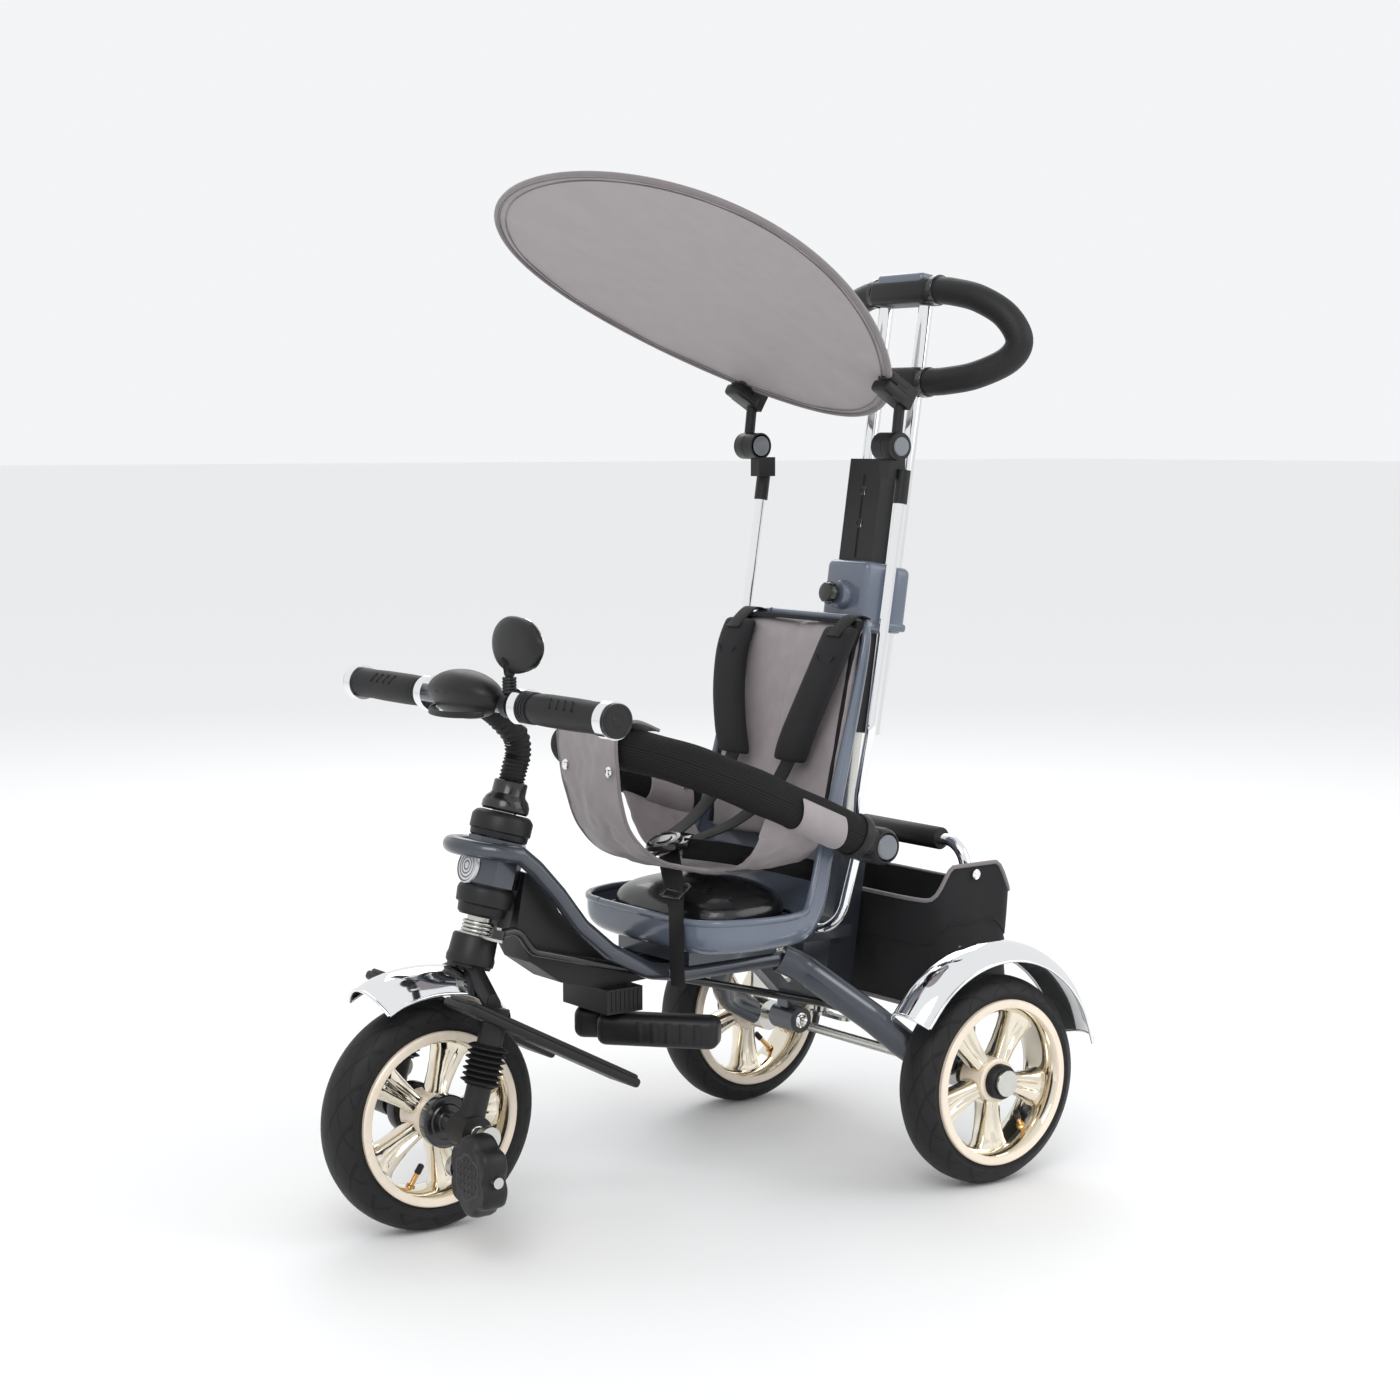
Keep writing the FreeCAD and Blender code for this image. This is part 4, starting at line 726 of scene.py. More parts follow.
def copy_of(piece, matrix):
    """A copy with a mesh of its own, moved by a matrix."""
    twin = piece.copy()
    twin.data = piece.data.copy()
    bpy.context.collection.objects.link(twin)
    twin.matrix_world = matrix
    settle(twin)
    if matrix.determinant() < 0:
        twin.data.flip_normals()
    return twin


def spun_round(piece, centre, axis, angle):
    """A copy turned about an axis through a centre."""
    turn = Matrix.Rotation(angle, 4, axis)
    return copy_of(piece, Matrix.Translation(centre) @ turn @ Matrix.Translation(-centre))


def bolt(centre, direction, radius=6.0, height=4.0):
    """A domed bolt head on a washer."""
    profile = [(0, 0), (0, radius * 1.35), (1.0, radius * 1.35), (1.2, radius), (height * 0.7, radius),
               (height, radius * 0.6), (height, 0)]
    return lathe(profile, centre, direction, 24)


def snap(centre, direction):
    """A press stud: a shallow ringed dome."""
    profile = [(0, 0), (0, 6.2), (1.0, 6.4), (1.6, 5.6), (1.3, 4.4), (2.2, 3.2), (2.5, 0)]
    return lathe(profile, centre, direction, 24)


def rumple(piece, depth, scale):
    """Soft creases: each point moves along its normal by smooth noise."""
    for vertex in piece.data.vertices:
        creases = noise.noise(vertex.co * scale) + 0.4 * noise.noise(vertex.co * scale * 2.7)
        vertex.co += vertex.normal * (depth * MM * creases)
    return piece


def puff(piece, voxel, pressure, cap):
    """Swells a closed cover with cloth simulation, with no point moving further than cap."""
    only(piece)
    apply(piece, "REMESH", mode="VOXEL", voxel_size=voxel * MM)
    start = [vertex.co.copy() for vertex in piece.data.vertices]
    cloth = piece.modifiers.new("filling", "CLOTH")
    cloth.settings.use_pressure = True
    cloth.settings.uniform_pressure_force = pressure
    cloth.settings.effector_weights.gravity = 0.0
    cloth.settings.quality = 5
    cloth.point_cache.frame_end = 20
    for number in range(1, 21):
        bpy.context.scene.frame_set(number)
    only(piece)
    bpy.ops.object.modifier_apply(modifier=cloth.name)
    bpy.context.scene.frame_set(1)
    for vertex, origin in zip(piece.data.vertices, start):
        shift = vertex.co - origin
        if shift.length > cap:
            vertex.co = origin + shift.normalized() * cap
    return piece


# ---------------------------------------------------------------- wheels and fenders

def tyre_profile(radius):
    """Half of the tyre's section, bead to crown, mirrored to a closed loop of (along, radius)."""
    half = [(21.0, 94.0), (25.5, 99.0), (28.3, 107.0), (27.6, radius - 16.0), (24.0, radius - 8.5),
            (17.0, radius - 3.2), (8.0, radius - 0.6), (0.0, radius - 0.1)]
    return half + [(-along, reach) for along, reach in reversed(half[:-1])]


def make_rim():
    """A rim's lip, barrel with split spokes, hub ring and valve, round the front axle."""
    sizes = bpy.context.scene.tricycle_sizes
    centre = at(0, 0, FRONT_RADIUS)
    lips = []
    for side in (1, -1):
        profile = [(30.6 * side, 89.5), (31.0 * side, 90.5), (31.0 * side, 97.5), (29.5 * side, 99.0),
                   (24.0 * side, 99.0), (22.0 * side, 95.0), (27.0 * side, 88.0)]
        lips.append(lathe(profile, centre, ACROSS, 96))
    hub_ring = lathe([(-20.0, 15.0), (-20.0, 24.0), (-18.0, 26.5), (18.0, 26.5), (20.0, 24.0), (20.0, 15.0)],
                     centre, ACROSS, 48)
    lip = joined(lips + [hub_ring])
    barrel = lathe([(29.0, 89.0), (24.0, 85.5), (10.0, 82.5), (-10.0, 82.5), (-24.0, 85.5), (-29.0, 89.0),
                    (-27.0, 92.5), (-10.0, 87.0), (10.0, 87.0), (27.0, 92.5)], centre, ACROSS, 96)
    spoke = []
    for share in (0.0, 0.12, 0.35, 0.6, 0.82, 1.0):
        reach = 23.0 + 62.0 * share
        half = 11.5 + 11.5 * share ** 1.6 + (4.0 if share == 1.0 else 0.0)
        swell = 15.0 - 3.0 * math.sin(math.pi * share)
        groove = 6.0 * math.sin(math.pi * min(share * 1.05 + 0.02, 1.0))
        near_half = [(half * 0.16, 1.0 - groove / 15), (half * 0.34, 1.0), (half * 0.82, 0.86), (half, 0.35)]
        outline = [(-across, level) for across, level in reversed(near_half)] + near_half
        ring = [centre + Vector((swell * level, across, reach)) * MM for across, level in outline]
        ring += [centre + Vector((-swell * level, across, reach)) * MM for across, level in reversed(outline)]
        spoke.append(ring)
    blade = skin(spoke)
    soften(blade, 0.8, 2, 32)
    blades = [blade]
    for index in range(1, sizes.spoke_pairs):
        blades.append(spun_round(blade, centre, ACROSS, 2 * math.pi * index / sizes.spoke_pairs))
    web = joined([barrel] + blades)
    stem_foot = centre + Vector((6, 0, -83)) * MM
    stem_axis = Vector((0.35, 0, 1))
    valve = lathe([(0, 0), (0, 5.2), (3, 5.2), (4, 3.0), (20, 3.0), (20, 0)], stem_foot, stem_axis, 20)
    cap = lathe([(19, 0), (19, 3.9), (29, 3.7), (30, 2.6), (30, 0)], stem_foot, stem_axis, 20)
    return lip, web, valve, cap


class TRICYCLE_OT_wheels(bpy.types.Operator):
    """Tyres, rims with split spokes, hubs, valves and caps of the three wheels"""
    bl_idname = "tricycle.wheels"
    bl_label = "Wheels"

    def execute(self, context):
        centre = at(0, 0, FRONT_RADIUS)
        colour = tuple(context.scene.tricycle_colours.tyre)
        parts = make_rim()
        names = ("lip", "spokes", "valve", "valve_cap")
        finishes = ("lip", "plating", "brass", "nylon")
        places = [("front", "front_wheel", centre, FRONT_RADIUS, ("front_rim",), "front_tyre")]
        for side, sign in SIDES:
            hub = at(TRACK_X * sign, REAR_Y, REAR_RADIUS)
            places.append((f"rear_{side}", f"rear_wheel_{side}", hub, REAR_RADIUS, (f"rear_rim_{side}",),
                           f"rear_tyre_{side}"))
        for label, body, hub, radius, rim_node, tyre_node in places:
            tyre = lathe(tyre_profile(radius), hub, ACROSS, 128)
            tread = tyre_finish(f"{label}_tyre_rubber", colour, hub, radius)
            finish_piece(tyre, f"{label}_tread", body, tread, (tyre_node,))
            turn = Matrix.Rotation(math.radians(-20 if label == "front" else 38), 4, "X")
            if label == "rear_right":
                turn = turn @ Matrix.Rotation(math.pi, 4, "Z")
            for part, name, kind in zip(parts, names, finishes):
                twin = copy_of(part, Matrix.Translation(hub) @ turn @ Matrix.Translation(-centre))
                finish_piece(twin, f"{label}_{name}", body, kind, rim_node, 30)
            outward = ACROSS * (-1 if label == "rear_right" else 1)
            if label == "front":
                for sign in (1, -1):
                    discs = lathe([(19, 0), (19, 22), (24, 24), (27, 28), (31, 30), (41, 30), (42, 28.5),
                                   (41, 26), (41, 20.5), (42.4, 19), (42.4, 12), (43.6, 11), (43.6, 0)],
                                  hub, outward * sign, 48)
                    finish_piece(discs, f"front_hub_disc_{'left' if sign > 0 else 'right'}", body, "gloss")
            else:
                cap = lathe([(18, 0), (18, 21), (29, 20.5), (31.5, 18.5), (31.5, 15.8), (30.5, 15.0),
                             (30.5, 8.5), (31.6, 7.6), (32.2, 0)], hub, outward, 48)
                finish_piece(cap, f"{label}_hub_cap", body, "nylon")
        for part in parts:
            bpy.data.objects.remove(part)
        return {"FINISHED"}


def fender_sheet(route, half, rise, name, finish, stands_for, body):
    """A curved fender through side-view points: an arched sheet with rolled edges."""
    points = curve_points([at(0, y, z) for y, z in route], 33)
    frames = []
    for index in range(len(points)):
        after = points[min(index + 1, 32)]
        before = points[max(index - 1, 0)]
        direction = (after - before).normalized()
        frames.append(Vector((0, -direction.z, direction.y)) if direction.y > 0
                      else Vector((0, direction.z, -direction.y)))

    def shape(along, across):
        index = min(int(round(along * 32)), 32)
        t = across * 2 - 1
        drop = rise * (abs(t) ** 2.2)
        return points[index] + ACROSS * (t * half * MM) - frames[index] * (drop * MM)

    sheet = cloth_surface(shape, 16, 32, 1.8)
    beads = []
    for side in (0.0, 1.0):
        edge = [shape(step / 32, side) for step in range(33)]
        beads.append(tube(edge, 1.9, 10))
    for end in (0.0, 1.0):
        edge = [shape(end, step / 16) for step in range(17)]
        beads.append(tube(edge, 1.9, 10))
    piece = joined([sheet] + beads)
    return finish_piece(piece, name, body, finish, stands_for, 50)


class TRICYCLE_OT_fenders(bpy.types.Operator):
    """Chromed fenders over the three wheels"""
    bl_idname = "tricycle.fenders"
    bl_label = "Fenders"

    def execute(self, context):
        route = [(-84, 281), (-62, 291), (-30, 297.5), (5, 298), (40, 291), (72, 270), (97, 241)]
        fender_sheet(route, 44, 24, "front_fender_chrome", "chrome", ("front_fender",), "fork")
        arc = []
        for step in range(9):
            angle = math.radians(145 - (145 - 12) * step / 8)
            arc.append((REAR_Y + 165 * math.cos(angle), REAR_RADIUS + 165 * math.sin(angle)))
        left = fender_sheet(arc, 33, 19, "rear_fender_left", "chrome", (), "frame")
        left.data.transform(Matrix.Translation((TRACK_X * MM, 0, 0)))
        right = fender_sheet(arc, 33, 19, "rear_fender_right", "chrome", ("rear_fenders",), "frame")
        right.data.transform(Matrix.Translation((-TRACK_X * MM, 0, 0)))
        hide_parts("rear_fenders")
        return {"FINISHED"}


# ---------------------------------------------------------------- fork, pedals and steering head

def pedal_outline(angle, width, height):
    """Radius of the pedal's three-lobed outline at an angle."""
    base = oval_reach(angle, width, height, 2.6)
    lobes = 1.0 - 0.15 * (0.5 - 0.5 * math.cos(angle * 6 + math.pi)) ** 2
    return base * lobes


def make_pedal(body, sign):
    """A moulded pedal with lobes and dotted grip panels on both faces."""
    low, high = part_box(body)
    centre = (low + high) / 2
    size = high - low
    rings = []
    for depth, share in ((-0.5, 0.90), (-0.42, 0.97), (-0.28, 1.0), (0.28, 1.0), (0.42, 0.97), (0.5, 0.90)):
        ring = []
        for step in range(64):
            angle = 2 * math.pi * step / 64
            reach = pedal_outline(angle, size.x / 2, size.z / 2) * share
            ring.append(centre + Vector((reach * math.cos(angle), depth * size.y, reach * math.sin(angle))))
        rings.append(ring)
    pedal = skin(rings)
    parts = []
    for face in (1, -1):
        panel_rings = []
        for depth, share in ((0.0, 1.0), (1.2, 0.97), (1.2, 0.90), (0.5, 0.86)):
            ring = []
            for step in range(48):
                angle = 2 * math.pi * step / 48
                reach = pedal_outline(angle, size.x * 0.33, size.z * 0.30) * share
                ring.append(centre + Vector((reach * math.cos(angle),
                                             (size.y / 2 - 0.6 * MM + depth * MM) * face,
                                             reach * math.sin(angle))))
            panel_rings.append(ring)
        parts.append(skin(panel_rings))
        for row in range(5):
            for column in range(5):
                spot = centre + Vector(((column - 2) * 7.6 * MM, (size.y / 2 - 0.2 * MM) * face,
                                        (row - 2) * 8.4 * MM))
                if abs(column - 2) + abs(row - 2) < 4:
                    parts.append(lathe([(0, 0), (0, 1.9), (1.1, 1.5), (1.6, 0)], spot,
                                       Vector((0, face, 0)), 8))
    barrel = lathe([(-size.x / 2 / MM, 0), (-size.x / 2 / MM, 9), (-size.x / 2 / MM + 4, 11),
                    (0, 11), (0, 0)], centre, ACROSS * sign, 32)
    finish_piece(joined(parts), f"{body}_tread", body, "tread", (body,), 40)
    return finish_piece(joined([pedal, barrel]), f"{body}_block", body, "nylon", (body,), 40)


class TRICYCLE_OT_pedals(bpy.types.Operator):
    """Moulded pedals with grip panels"""
    bl_idname = "tricycle.pedals"
    bl_label = "Pedals"

    def execute(self, context):
        for side, sign in SIDES:
            make_pedal(f"pedal_{side}", sign)
        return {"FINISHED"}


class TRICYCLE_OT_fork(bpy.types.Operator):
    """Bellows, crown collar and foot plates of the front fork"""
    bl_idname = "tricycle.fork"
    bl_label = "Fork"

    def execute(self, context):
        sizes = context.scene.tricycle_sizes
        folds = sizes.bellows_folds
        profile = [(50, 0), (50, 17)]
        pitch = 44.0 / folds
        for fold in range(folds):
            start = 51 + pitch * fold
            wide = 22.6 if fold % 2 == 0 else 21.6
            profile += [(start, 16.5), (start + pitch * 0.42, wide), (start + pitch * 0.6, wide)]
        profile += [(95.5, 17), (95.5, 0)]
        for side, sign in SIDES:
            bellows = lathe(profile, at(87 * sign, 0, 130), HEAD_AXIS, 48)
            finish_piece(bellows, f"fork_bellows_{side}", "fork", "rubber", ("fork_bellows",), 30)
            screw = bolt(at(104 * sign, 0, 130), ACROSS * sign, 6.5, 5)
            finish_piece(screw, f"axle_bolt_{side}", "fork", "chrome")
        low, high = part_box("footrest_plates")
        slope = math.radians(-27.7)
        turn = Matrix.Rotation(slope, 4, "X")
        for side, sign in SIDES:
            centre = Vector(((high.x - 30 * MM) * sign, (low.y + high.y) / 2, (low.z + high.z) / 2))
            plate = block((59, 253, 11), centre - turn.to_3x3() @ Vector((0, 0, 1.8 * MM)), turn, 4.5, 4)
            parts = [plate]
            loop = []
            for step in range(72):
                angle = 2 * math.pi * step / 72
                power = 0.28
                x = 27.2 * math.copysign(abs(math.cos(angle)) ** power, math.cos(angle))
                y = 123.8 * math.copysign(abs(math.sin(angle)) ** power, math.sin(angle))
                loop.append(centre + turn.to_3x3() @ Vector((x * MM, y * MM, 4.2 * MM)))
            parts.append(tube(loop, 2.9, 10, True))
            for index in range(9):
                offset = -96 + 24 * index
                parts.append(block((34, 5, 2.6), centre + turn.to_3x3() @ Vector((0, offset * MM, 4.4 * MM)),
                                   turn, 1.0, 2))
            for offset in (-108, 108):
                parts.append(bolt(centre + turn.to_3x3() @ Vector((0, offset * MM, 3.2 * MM)),
                                  turn.to_3x3() @ Vector((0, 0, 1)), 4.0, 2.5))
            finish_piece(joined(parts), f"foot_plate_{side}", "fork", "nylon", ("footrest_plates",), 40)
        collar = lathe([(0, 0), (0, 24), (3, 27.5), (9, 28), (14, 26.6), (33, 25.8), (35.4, 24), (35.4, 0)],
                       on_head(292), HEAD_AXIS, 48)
        finish_piece(collar, "crown_collar", "fork", "nylon")
        return {"FINISHED"}


def coil_spring(base, axis, radius, wire, turns, height):
    """A spring wound round an axis."""
    turn = turned(axis).to_3x3()
    points = []
    for step in range(turns * 24 + 1):
        angle = 2 * math.pi * step / 24
        rise = height * step / (turns * 24)
        points.append(base + turn @ Vector((radius * math.cos(angle), radius * math.sin(angle), rise)) * MM)
    return tube(points, wire, 10)


class TRICYCLE_OT_head(bpy.types.Operator):
    """Steering head: cups, badge, spring, dome and folded boot"""
    bl_idname = "tricycle.head"
    bl_label = "Steering head"

    def execute(self, context):
        lower = lathe([(0, 0), (0, 24), (3, 27), (12, 28), (14, 31.5), (28, 32.8), (32, 31.5), (35, 29),
                       (37, 29), (37, 0)], on_head(346.5), HEAD_AXIS, 64)
        upper = lathe([(0, 0), (0, 31), (2, 33), (8, 33.5), (9.5, 35.3), (24, 35.3), (27, 33.5), (30, 30.5),
                       (31, 27), (31, 0)], on_head(432), HEAD_AXIS, 64)
        finish_piece(joined([lower, upper]), "head_cups", "frame", "nylon", ("headset_cups",), 35)
        spring = coil_spring(on_head(323), HEAD_AXIS, 14.6, 2.1, 4, 20)
        finish_piece(spring, "head_spring", "fork", "zinc", (), 60)
        dome = lathe([(0, 0), (0, 25.5), (2.5, 27.4), (9, 27.2), (15, 24.5), (19, 20.6), (21, 19.6),
                      (34, 19.3), (35.5, 17.8), (35.5, 0)], on_head(462.8), HEAD_AXIS, 64)
        finish_piece(dome, "head_dome", "fork", "gloss", ("stem_dome",), 35)
        ahead = Vector((0, -HEAD_AXIS.z, HEAD_AXIS.y))
        face = on_head(398, 0, 31)
        badge = lathe([(-2, 0), (-2, 20), (1.0, 20), (2.2, 18.6), (1.4, 17.2), (1.4, 12), (1.9, 11.4),
                       (1.9, 0)], face, ahead, 48)
        finish_piece(badge, "head_badge", "frame", badge_finish(face), (), 30)
        folds = context.scene.tricycle_sizes.boot_folds
        stem = curve_points([on_head(497), on_head(512), on_head(528), at(0, 119, 549), at(0, 98, 572),
                             at(0, 84, 583)], folds * 6 + 1)

        def fold_radius(share):
            return 13.4 + 2.0 * math.sin(math.pi * share * folds) ** 2

        boot = tube(stem, fold_radius, 28)
        finish_piece(boot, "stem_boot_folds", "fork", "rubber", ("stem_boot",), 80)
        return {"FINISHED"}


class TRICYCLE_OT_handlebar(bpy.types.Operator):
    """Handlebar pod, ribbed grips and end caps"""
    bl_idname = "tricycle.handlebar"
    bl_label = "Handlebar"

    def execute(self, context):
        bpy.ops.object.select_all(action="DESELECT")
        bpy.ops.mesh.primitive_uv_sphere_add(segments=48, ring_count=24, radius=1.0)
        pod = bpy.context.object
        pod.scale = Vector((61, 34.5, 27.5)) * MM
        settle(pod)
        for vertex in pod.data.vertices:
            share = vertex.co.x / (61 * MM)
            vertex.co.z *= 1.0 - 0.10 * share * share
            if vertex.co.y < 0:
                vertex.co.y *= 1.0 - 0.18 * max(0.0, -vertex.co.z / (27.5 * MM))
        pod.matrix_world = Matrix.Translation(at(0, 54, 600)) @ Matrix.Rotation(math.radians(-16), 4, "X")
        settle(pod)
        sweep = [math.radians(value) for value in range(-75, 76, 10)]
        lip_route = [at(53.32 * math.sin(angle), 54 - 34.3 * math.cos(angle), 583 - 3 * math.cos(angle))
                     for angle in sweep]
        lip = ribbon(lip_route, 7, 3.2, Vector((0, 0.2, 1)))
        soften(lip, 1.2, 3)
        holes = [lathe([(0, 0), (0, 4.2), (0.8, 4.2), (0.8, 2.8), (-0.6, 2.2), (-0.6, 0)],
                       at(x, 22.6, 607), Vector((0, -1, 0.25)), 20) for x in (-8, 8)]
        cover = joined([pod, lip] + holes)
        finish_piece(cover, "handlebar_pod_cover", "fork", "nylon", ("handlebar_pod",), 50)
        for side, sign in SIDES:
            profile = [(106.5, 0), (106.5, 16.0)]
            for ring in range(3):
                start = 108 + ring * 5
                profile += [(start, 17.8), (start + 2.6, 17.8), (start + 3.2, 15.8), (start + 4.4, 15.8)]
            profile += [(124, 16.4), (130, 17.4), (150, 17.9), (200, 17.9), (232, 17.2), (250, 17.8),
                        (256.5, 17.6), (257, 16), (257, 0)]
            grip = lathe(profile, at(0, 69, 592.5), ACROSS * sign, 48)
            ribs = []
            for row in (-1, 1):
                for index in range(4):
                    spot = at((168 + index * 14) * sign, 69, 592.5)
                    tip = Matrix.Rotation(math.radians(52 * row), 4, "X") @ Matrix.Rotation(
                        math.radians(28 * sign * row), 4, "Z")
                    lift = Matrix.Rotation(math.radians(52 * row), 3, "X") @ Vector((0, 0, 17.4 * MM))
                    ribs.append(block((3.2, 14, 2.4), spot + lift, tip, 1.0, 2))
            cap = lathe([(257, 0), (257, 14), (272, 14), (272.2, 18.6), (275.8, 18.6), (276.4, 16.8),
                         (275.4, 15.4), (275.4, 6.5), (276.2, 5.6), (276.2, 0)], at(0, 69, 592.5),
                        ACROSS * sign, 40)
            finish_piece(joined([grip] + ribs), f"grip_{side}", "fork", "rubber", ("grips",), 32)
            finish_piece(cap, f"bar_cap_{side}", "fork", "nylon", ("grips",), 32)
        return {"FINISHED"}


class TRICYCLE_OT_mirror(bpy.types.Operator):
    """Mirror shell with a ribbed foot"""
    bl_idname = "tricycle.mirror"
    bl_label = "Mirror"

    def execute(self, context):
        low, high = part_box("mirror_shell")
        centre = (low + high) / 2
        size = high - low
        rings = []
        for depth, share in ((0.0, 0.12), (0.06, 0.5), (0.2, 0.76), (0.45, 0.93), (0.75, 1.0), (0.96, 0.99),
                             (1.0, 0.95), (0.93, 0.92), (0.80, 0.90)):
            ring = []
            for step in range(56):
                angle = 2 * math.pi * step / 56
                reach_x = size.x / 2 * math.cos(angle)
                narrow = 1.0 - 0.16 * math.cos(angle)
                ring.append(centre + Vector((reach_x * share, (0.5 - depth) * size.y * -1,
                                             size.z / 2 * math.sin(angle) * share * narrow / 1.1)))
            rings.append(ring)
        piece = skin(rings)
        foot = []
        for index in range(5):
            foot.append(lathe([(0, 0), (0, 7.4), (1.6, 8.2), (3.2, 7.4), (3.2, 0)],
                              at(72, 66, 606 + index * 3.6), Vector((0, 0, 1)), 24))
        neck = tube(curve_points([at(72, 66, 625.5), at(74, 65, 634), at(80, 61, 644)], 9),
                    lambda share: 5.6 + 3.4 * share, 20)
        finish_piece(joined([piece, neck]), "mirror_back", "mirror", "nylon", ("mirror_shell",), 50)
        finish_piece(joined(foot), "mirror_foot", "fork", "nylon", (), 40)
        return {"FINISHED"}


# ---------------------------------------------------------------- seat

class TRICYCLE_OT_belly(bpy.types.Operator):
    """Ribs of the belly cover and the slotted foot pegs below it"""
    bl_idname = "tricycle.belly"
    bl_label = "Belly cover and pegs"

    def execute(self, context):
        ribs = []
        for index in range(7):
            y = 219 + index * 6.2
            ribs.append(block((94.4, 2.6, 24), at(0, y, 236), None, 0.9, 2))
        finish_piece(joined(ribs), "belly_ribs", "frame", "nylon", (), 40)
        for side, sign in SIDES:
            body = f"peg_{side}"
            low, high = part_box(body)
            pin = Vector((24 * sign, 237, 200))
            sweep = math.radians(42 if sign > 0 else 138)
            turn = Matrix.Rotation(sweep, 4, "Z")
            origin = at(pin.x, pin.y, (low.z + high.z) / 2 / MM)
            slab = block((144, 37.4, 37.2), origin + turn.to_3x3() @ Vector((53.5 * MM, 0, 0)), turn, 11, 5)
            slots = []
            for index in range(5):
                for face in (1, -1):
                    spot = origin + turn.to_3x3() @ Vector(((34 + index * 17) * MM, 18.4 * face * MM, 0))
                    slots.append(block((8, 1.6, 24), spot, turn, 0.7, 2))
            finish_piece(joined([slab] + slots), f"{body}_cover", body, "nylon", (body,), 40)
        return {"FINISHED"}


SEAT_SECTIONS = ((287.5, 329, 0, 78, 1), (288.5, 312, 0, 94, 18), (294, 296, 0, 112, 34),
                 (312, 288.5, 0, 133, 42), (352, 288, 0, 148, 43), (400, 288, 0, 149, 43),
                 (438, 293, 20, 145, 43), (464, 312, 46, 138, 41), (483, 345, 66, 130, 38),
                 (499, 402, 77, 122, 32), (514, 470, 78, 121, 26), (536, 570, 78, 121, 20),
                 (551, 640, 78, 117, 15), (556, 662, 78, 104, 9), (557, 668, 78, 84, 3))


def seat_point(along, across):
    """A point of the moulded seat: along runs from its front edge to its top, across from side to side."""
    place = along * (len(SEAT_SECTIONS) - 1)
    index = min(int(place), len(SEAT_SECTIONS) - 2)
    share = place - index
    ends = [SEAT_SECTIONS[min(max(index + step, 0), len(SEAT_SECTIONS) - 1)] for step in (-1, 0, 1, 2)]
    y, z, lean, half, rise = [0.5 * (2 * b + (c - a) * share + (2 * a - 5 * b + 4 * c - d) * share ** 2
                                     + (3 * b - a - 3 * c + d) * share ** 3) for a, b, c, d in zip(*ends)]
    angle = (across * 2 - 1) * math.pi / 2
    x = half * math.copysign(abs(math.sin(angle)) ** 0.42, angle)
    height = rise * (1 - abs(math.cos(angle)) ** 0.42)
    lean = math.radians(lean)
    return at(x, y - math.sin(lean) * height, z + math.cos(lean) * height)


class TRICYCLE_OT_seat_shell(bpy.types.Operator):
    """Moulded bucket seat with a rolled edge"""
    bl_idname = "tricycle.seat_shell"
    bl_label = "Seat shell"

    def execute(self, context):
        bead = context.scene.tricycle_sizes.rim_bead / MM
        shell = cloth_surface(seat_point, 56, 84, 3.6)
        edges = [tube([seat_point(step / 84, side) for step in range(85)], bead, 12) for side in (0.0, 1.0)]
        edges += [tube([seat_point(end, step / 56) for step in range(57)], bead, 12) for end in (0.0, 1.0)]
        finish_piece(joined([shell] + edges), "seat_bucket", "frame", "shell", ("seat_shell",), 60)
        return {"FINISHED"}


def pillow(half_x, half_y, height, plan_power, crown, columns=40, rows=40):
    """A closed cushion form about the origin: a rounded outline, crowned on top, flat below."""
    rings = []
    for row in range(rows + 1):
        share = row / rows
        ring = []
        for column in range(columns):
            angle = 2 * math.pi * column / columns
            c, s = math.cos(angle), math.sin(angle)
            reach = oval_reach(angle, half_x, half_y, plan_power)
            turn = math.pi * share
            spread = math.sin(turn) ** 0.5
            level = math.cos(turn)
            level = math.copysign(abs(level) ** 0.8, level)
            lift = height / 2 * level
            if level > 0:
                lift += crown * (1 - (spread ** 2))
            ring.append(Vector((reach * c * spread, reach * s * spread, lift)) * MM)
        rings.append(ring)
    return skin(rings[1:-1])


class TRICYCLE_OT_cushion(bpy.types.Operator):
    """Puffed vinyl seat cushion with piped seams, swollen by its filling"""
    bl_idname = "tricycle.cushion"
    bl_label = "Seat cushion"

    def execute(self, context):
        swell = context.scene.tricycle_sizes.cushion_swell
        piece = pillow(115, 78, 54, 2.9, 6)
        piece.matrix_world = Matrix.Translation(at(0, 377, 327)) @ Matrix.Rotation(math.radians(3), 4, "X")
        settle(piece)
        puff(piece, 5.0, 4.0, swell)
        middle = at(0, 377, 324)
        floor = at(0, 0, 291.6).z
        apply(piece, "SMOOTH", factor=0.7, iterations=14)
        for vertex in piece.data.vertices:
            vertex.co.z = max(vertex.co.z, floor)
        subdivide(piece)
        finish_piece(piece, "seat_cushion_cover", "frame", "vinyl", ("seat_cushion",), 80)
        route = []
        for step in range(64):
            angle = 2 * math.pi * step / 64
            c, s = math.cos(angle), math.sin(angle)
            reach = oval_reach(angle, 118.5, 82.0, 3.6)
            route.append(middle + Vector((reach * c, reach * s, -4.0 + 2.0 * math.sin(3 * angle))) * MM)
        piping = tube(route, 2.6, 8, True)
        finish_piece(piping, "cushion_piping", "frame", "vinyl", (), 60)
        return {"FINISHED"}


BACK_LEAN = math.atan2(57.0, 262.0)


def on_back(x, z, forward):
    """A point in front of the seat back's face."""
    face = at(x, 496 + (z - 400) * math.tan(BACK_LEAN), z)
    return face + Vector((0, -math.cos(BACK_LEAN), math.sin(BACK_LEAN))) * (forward * MM)


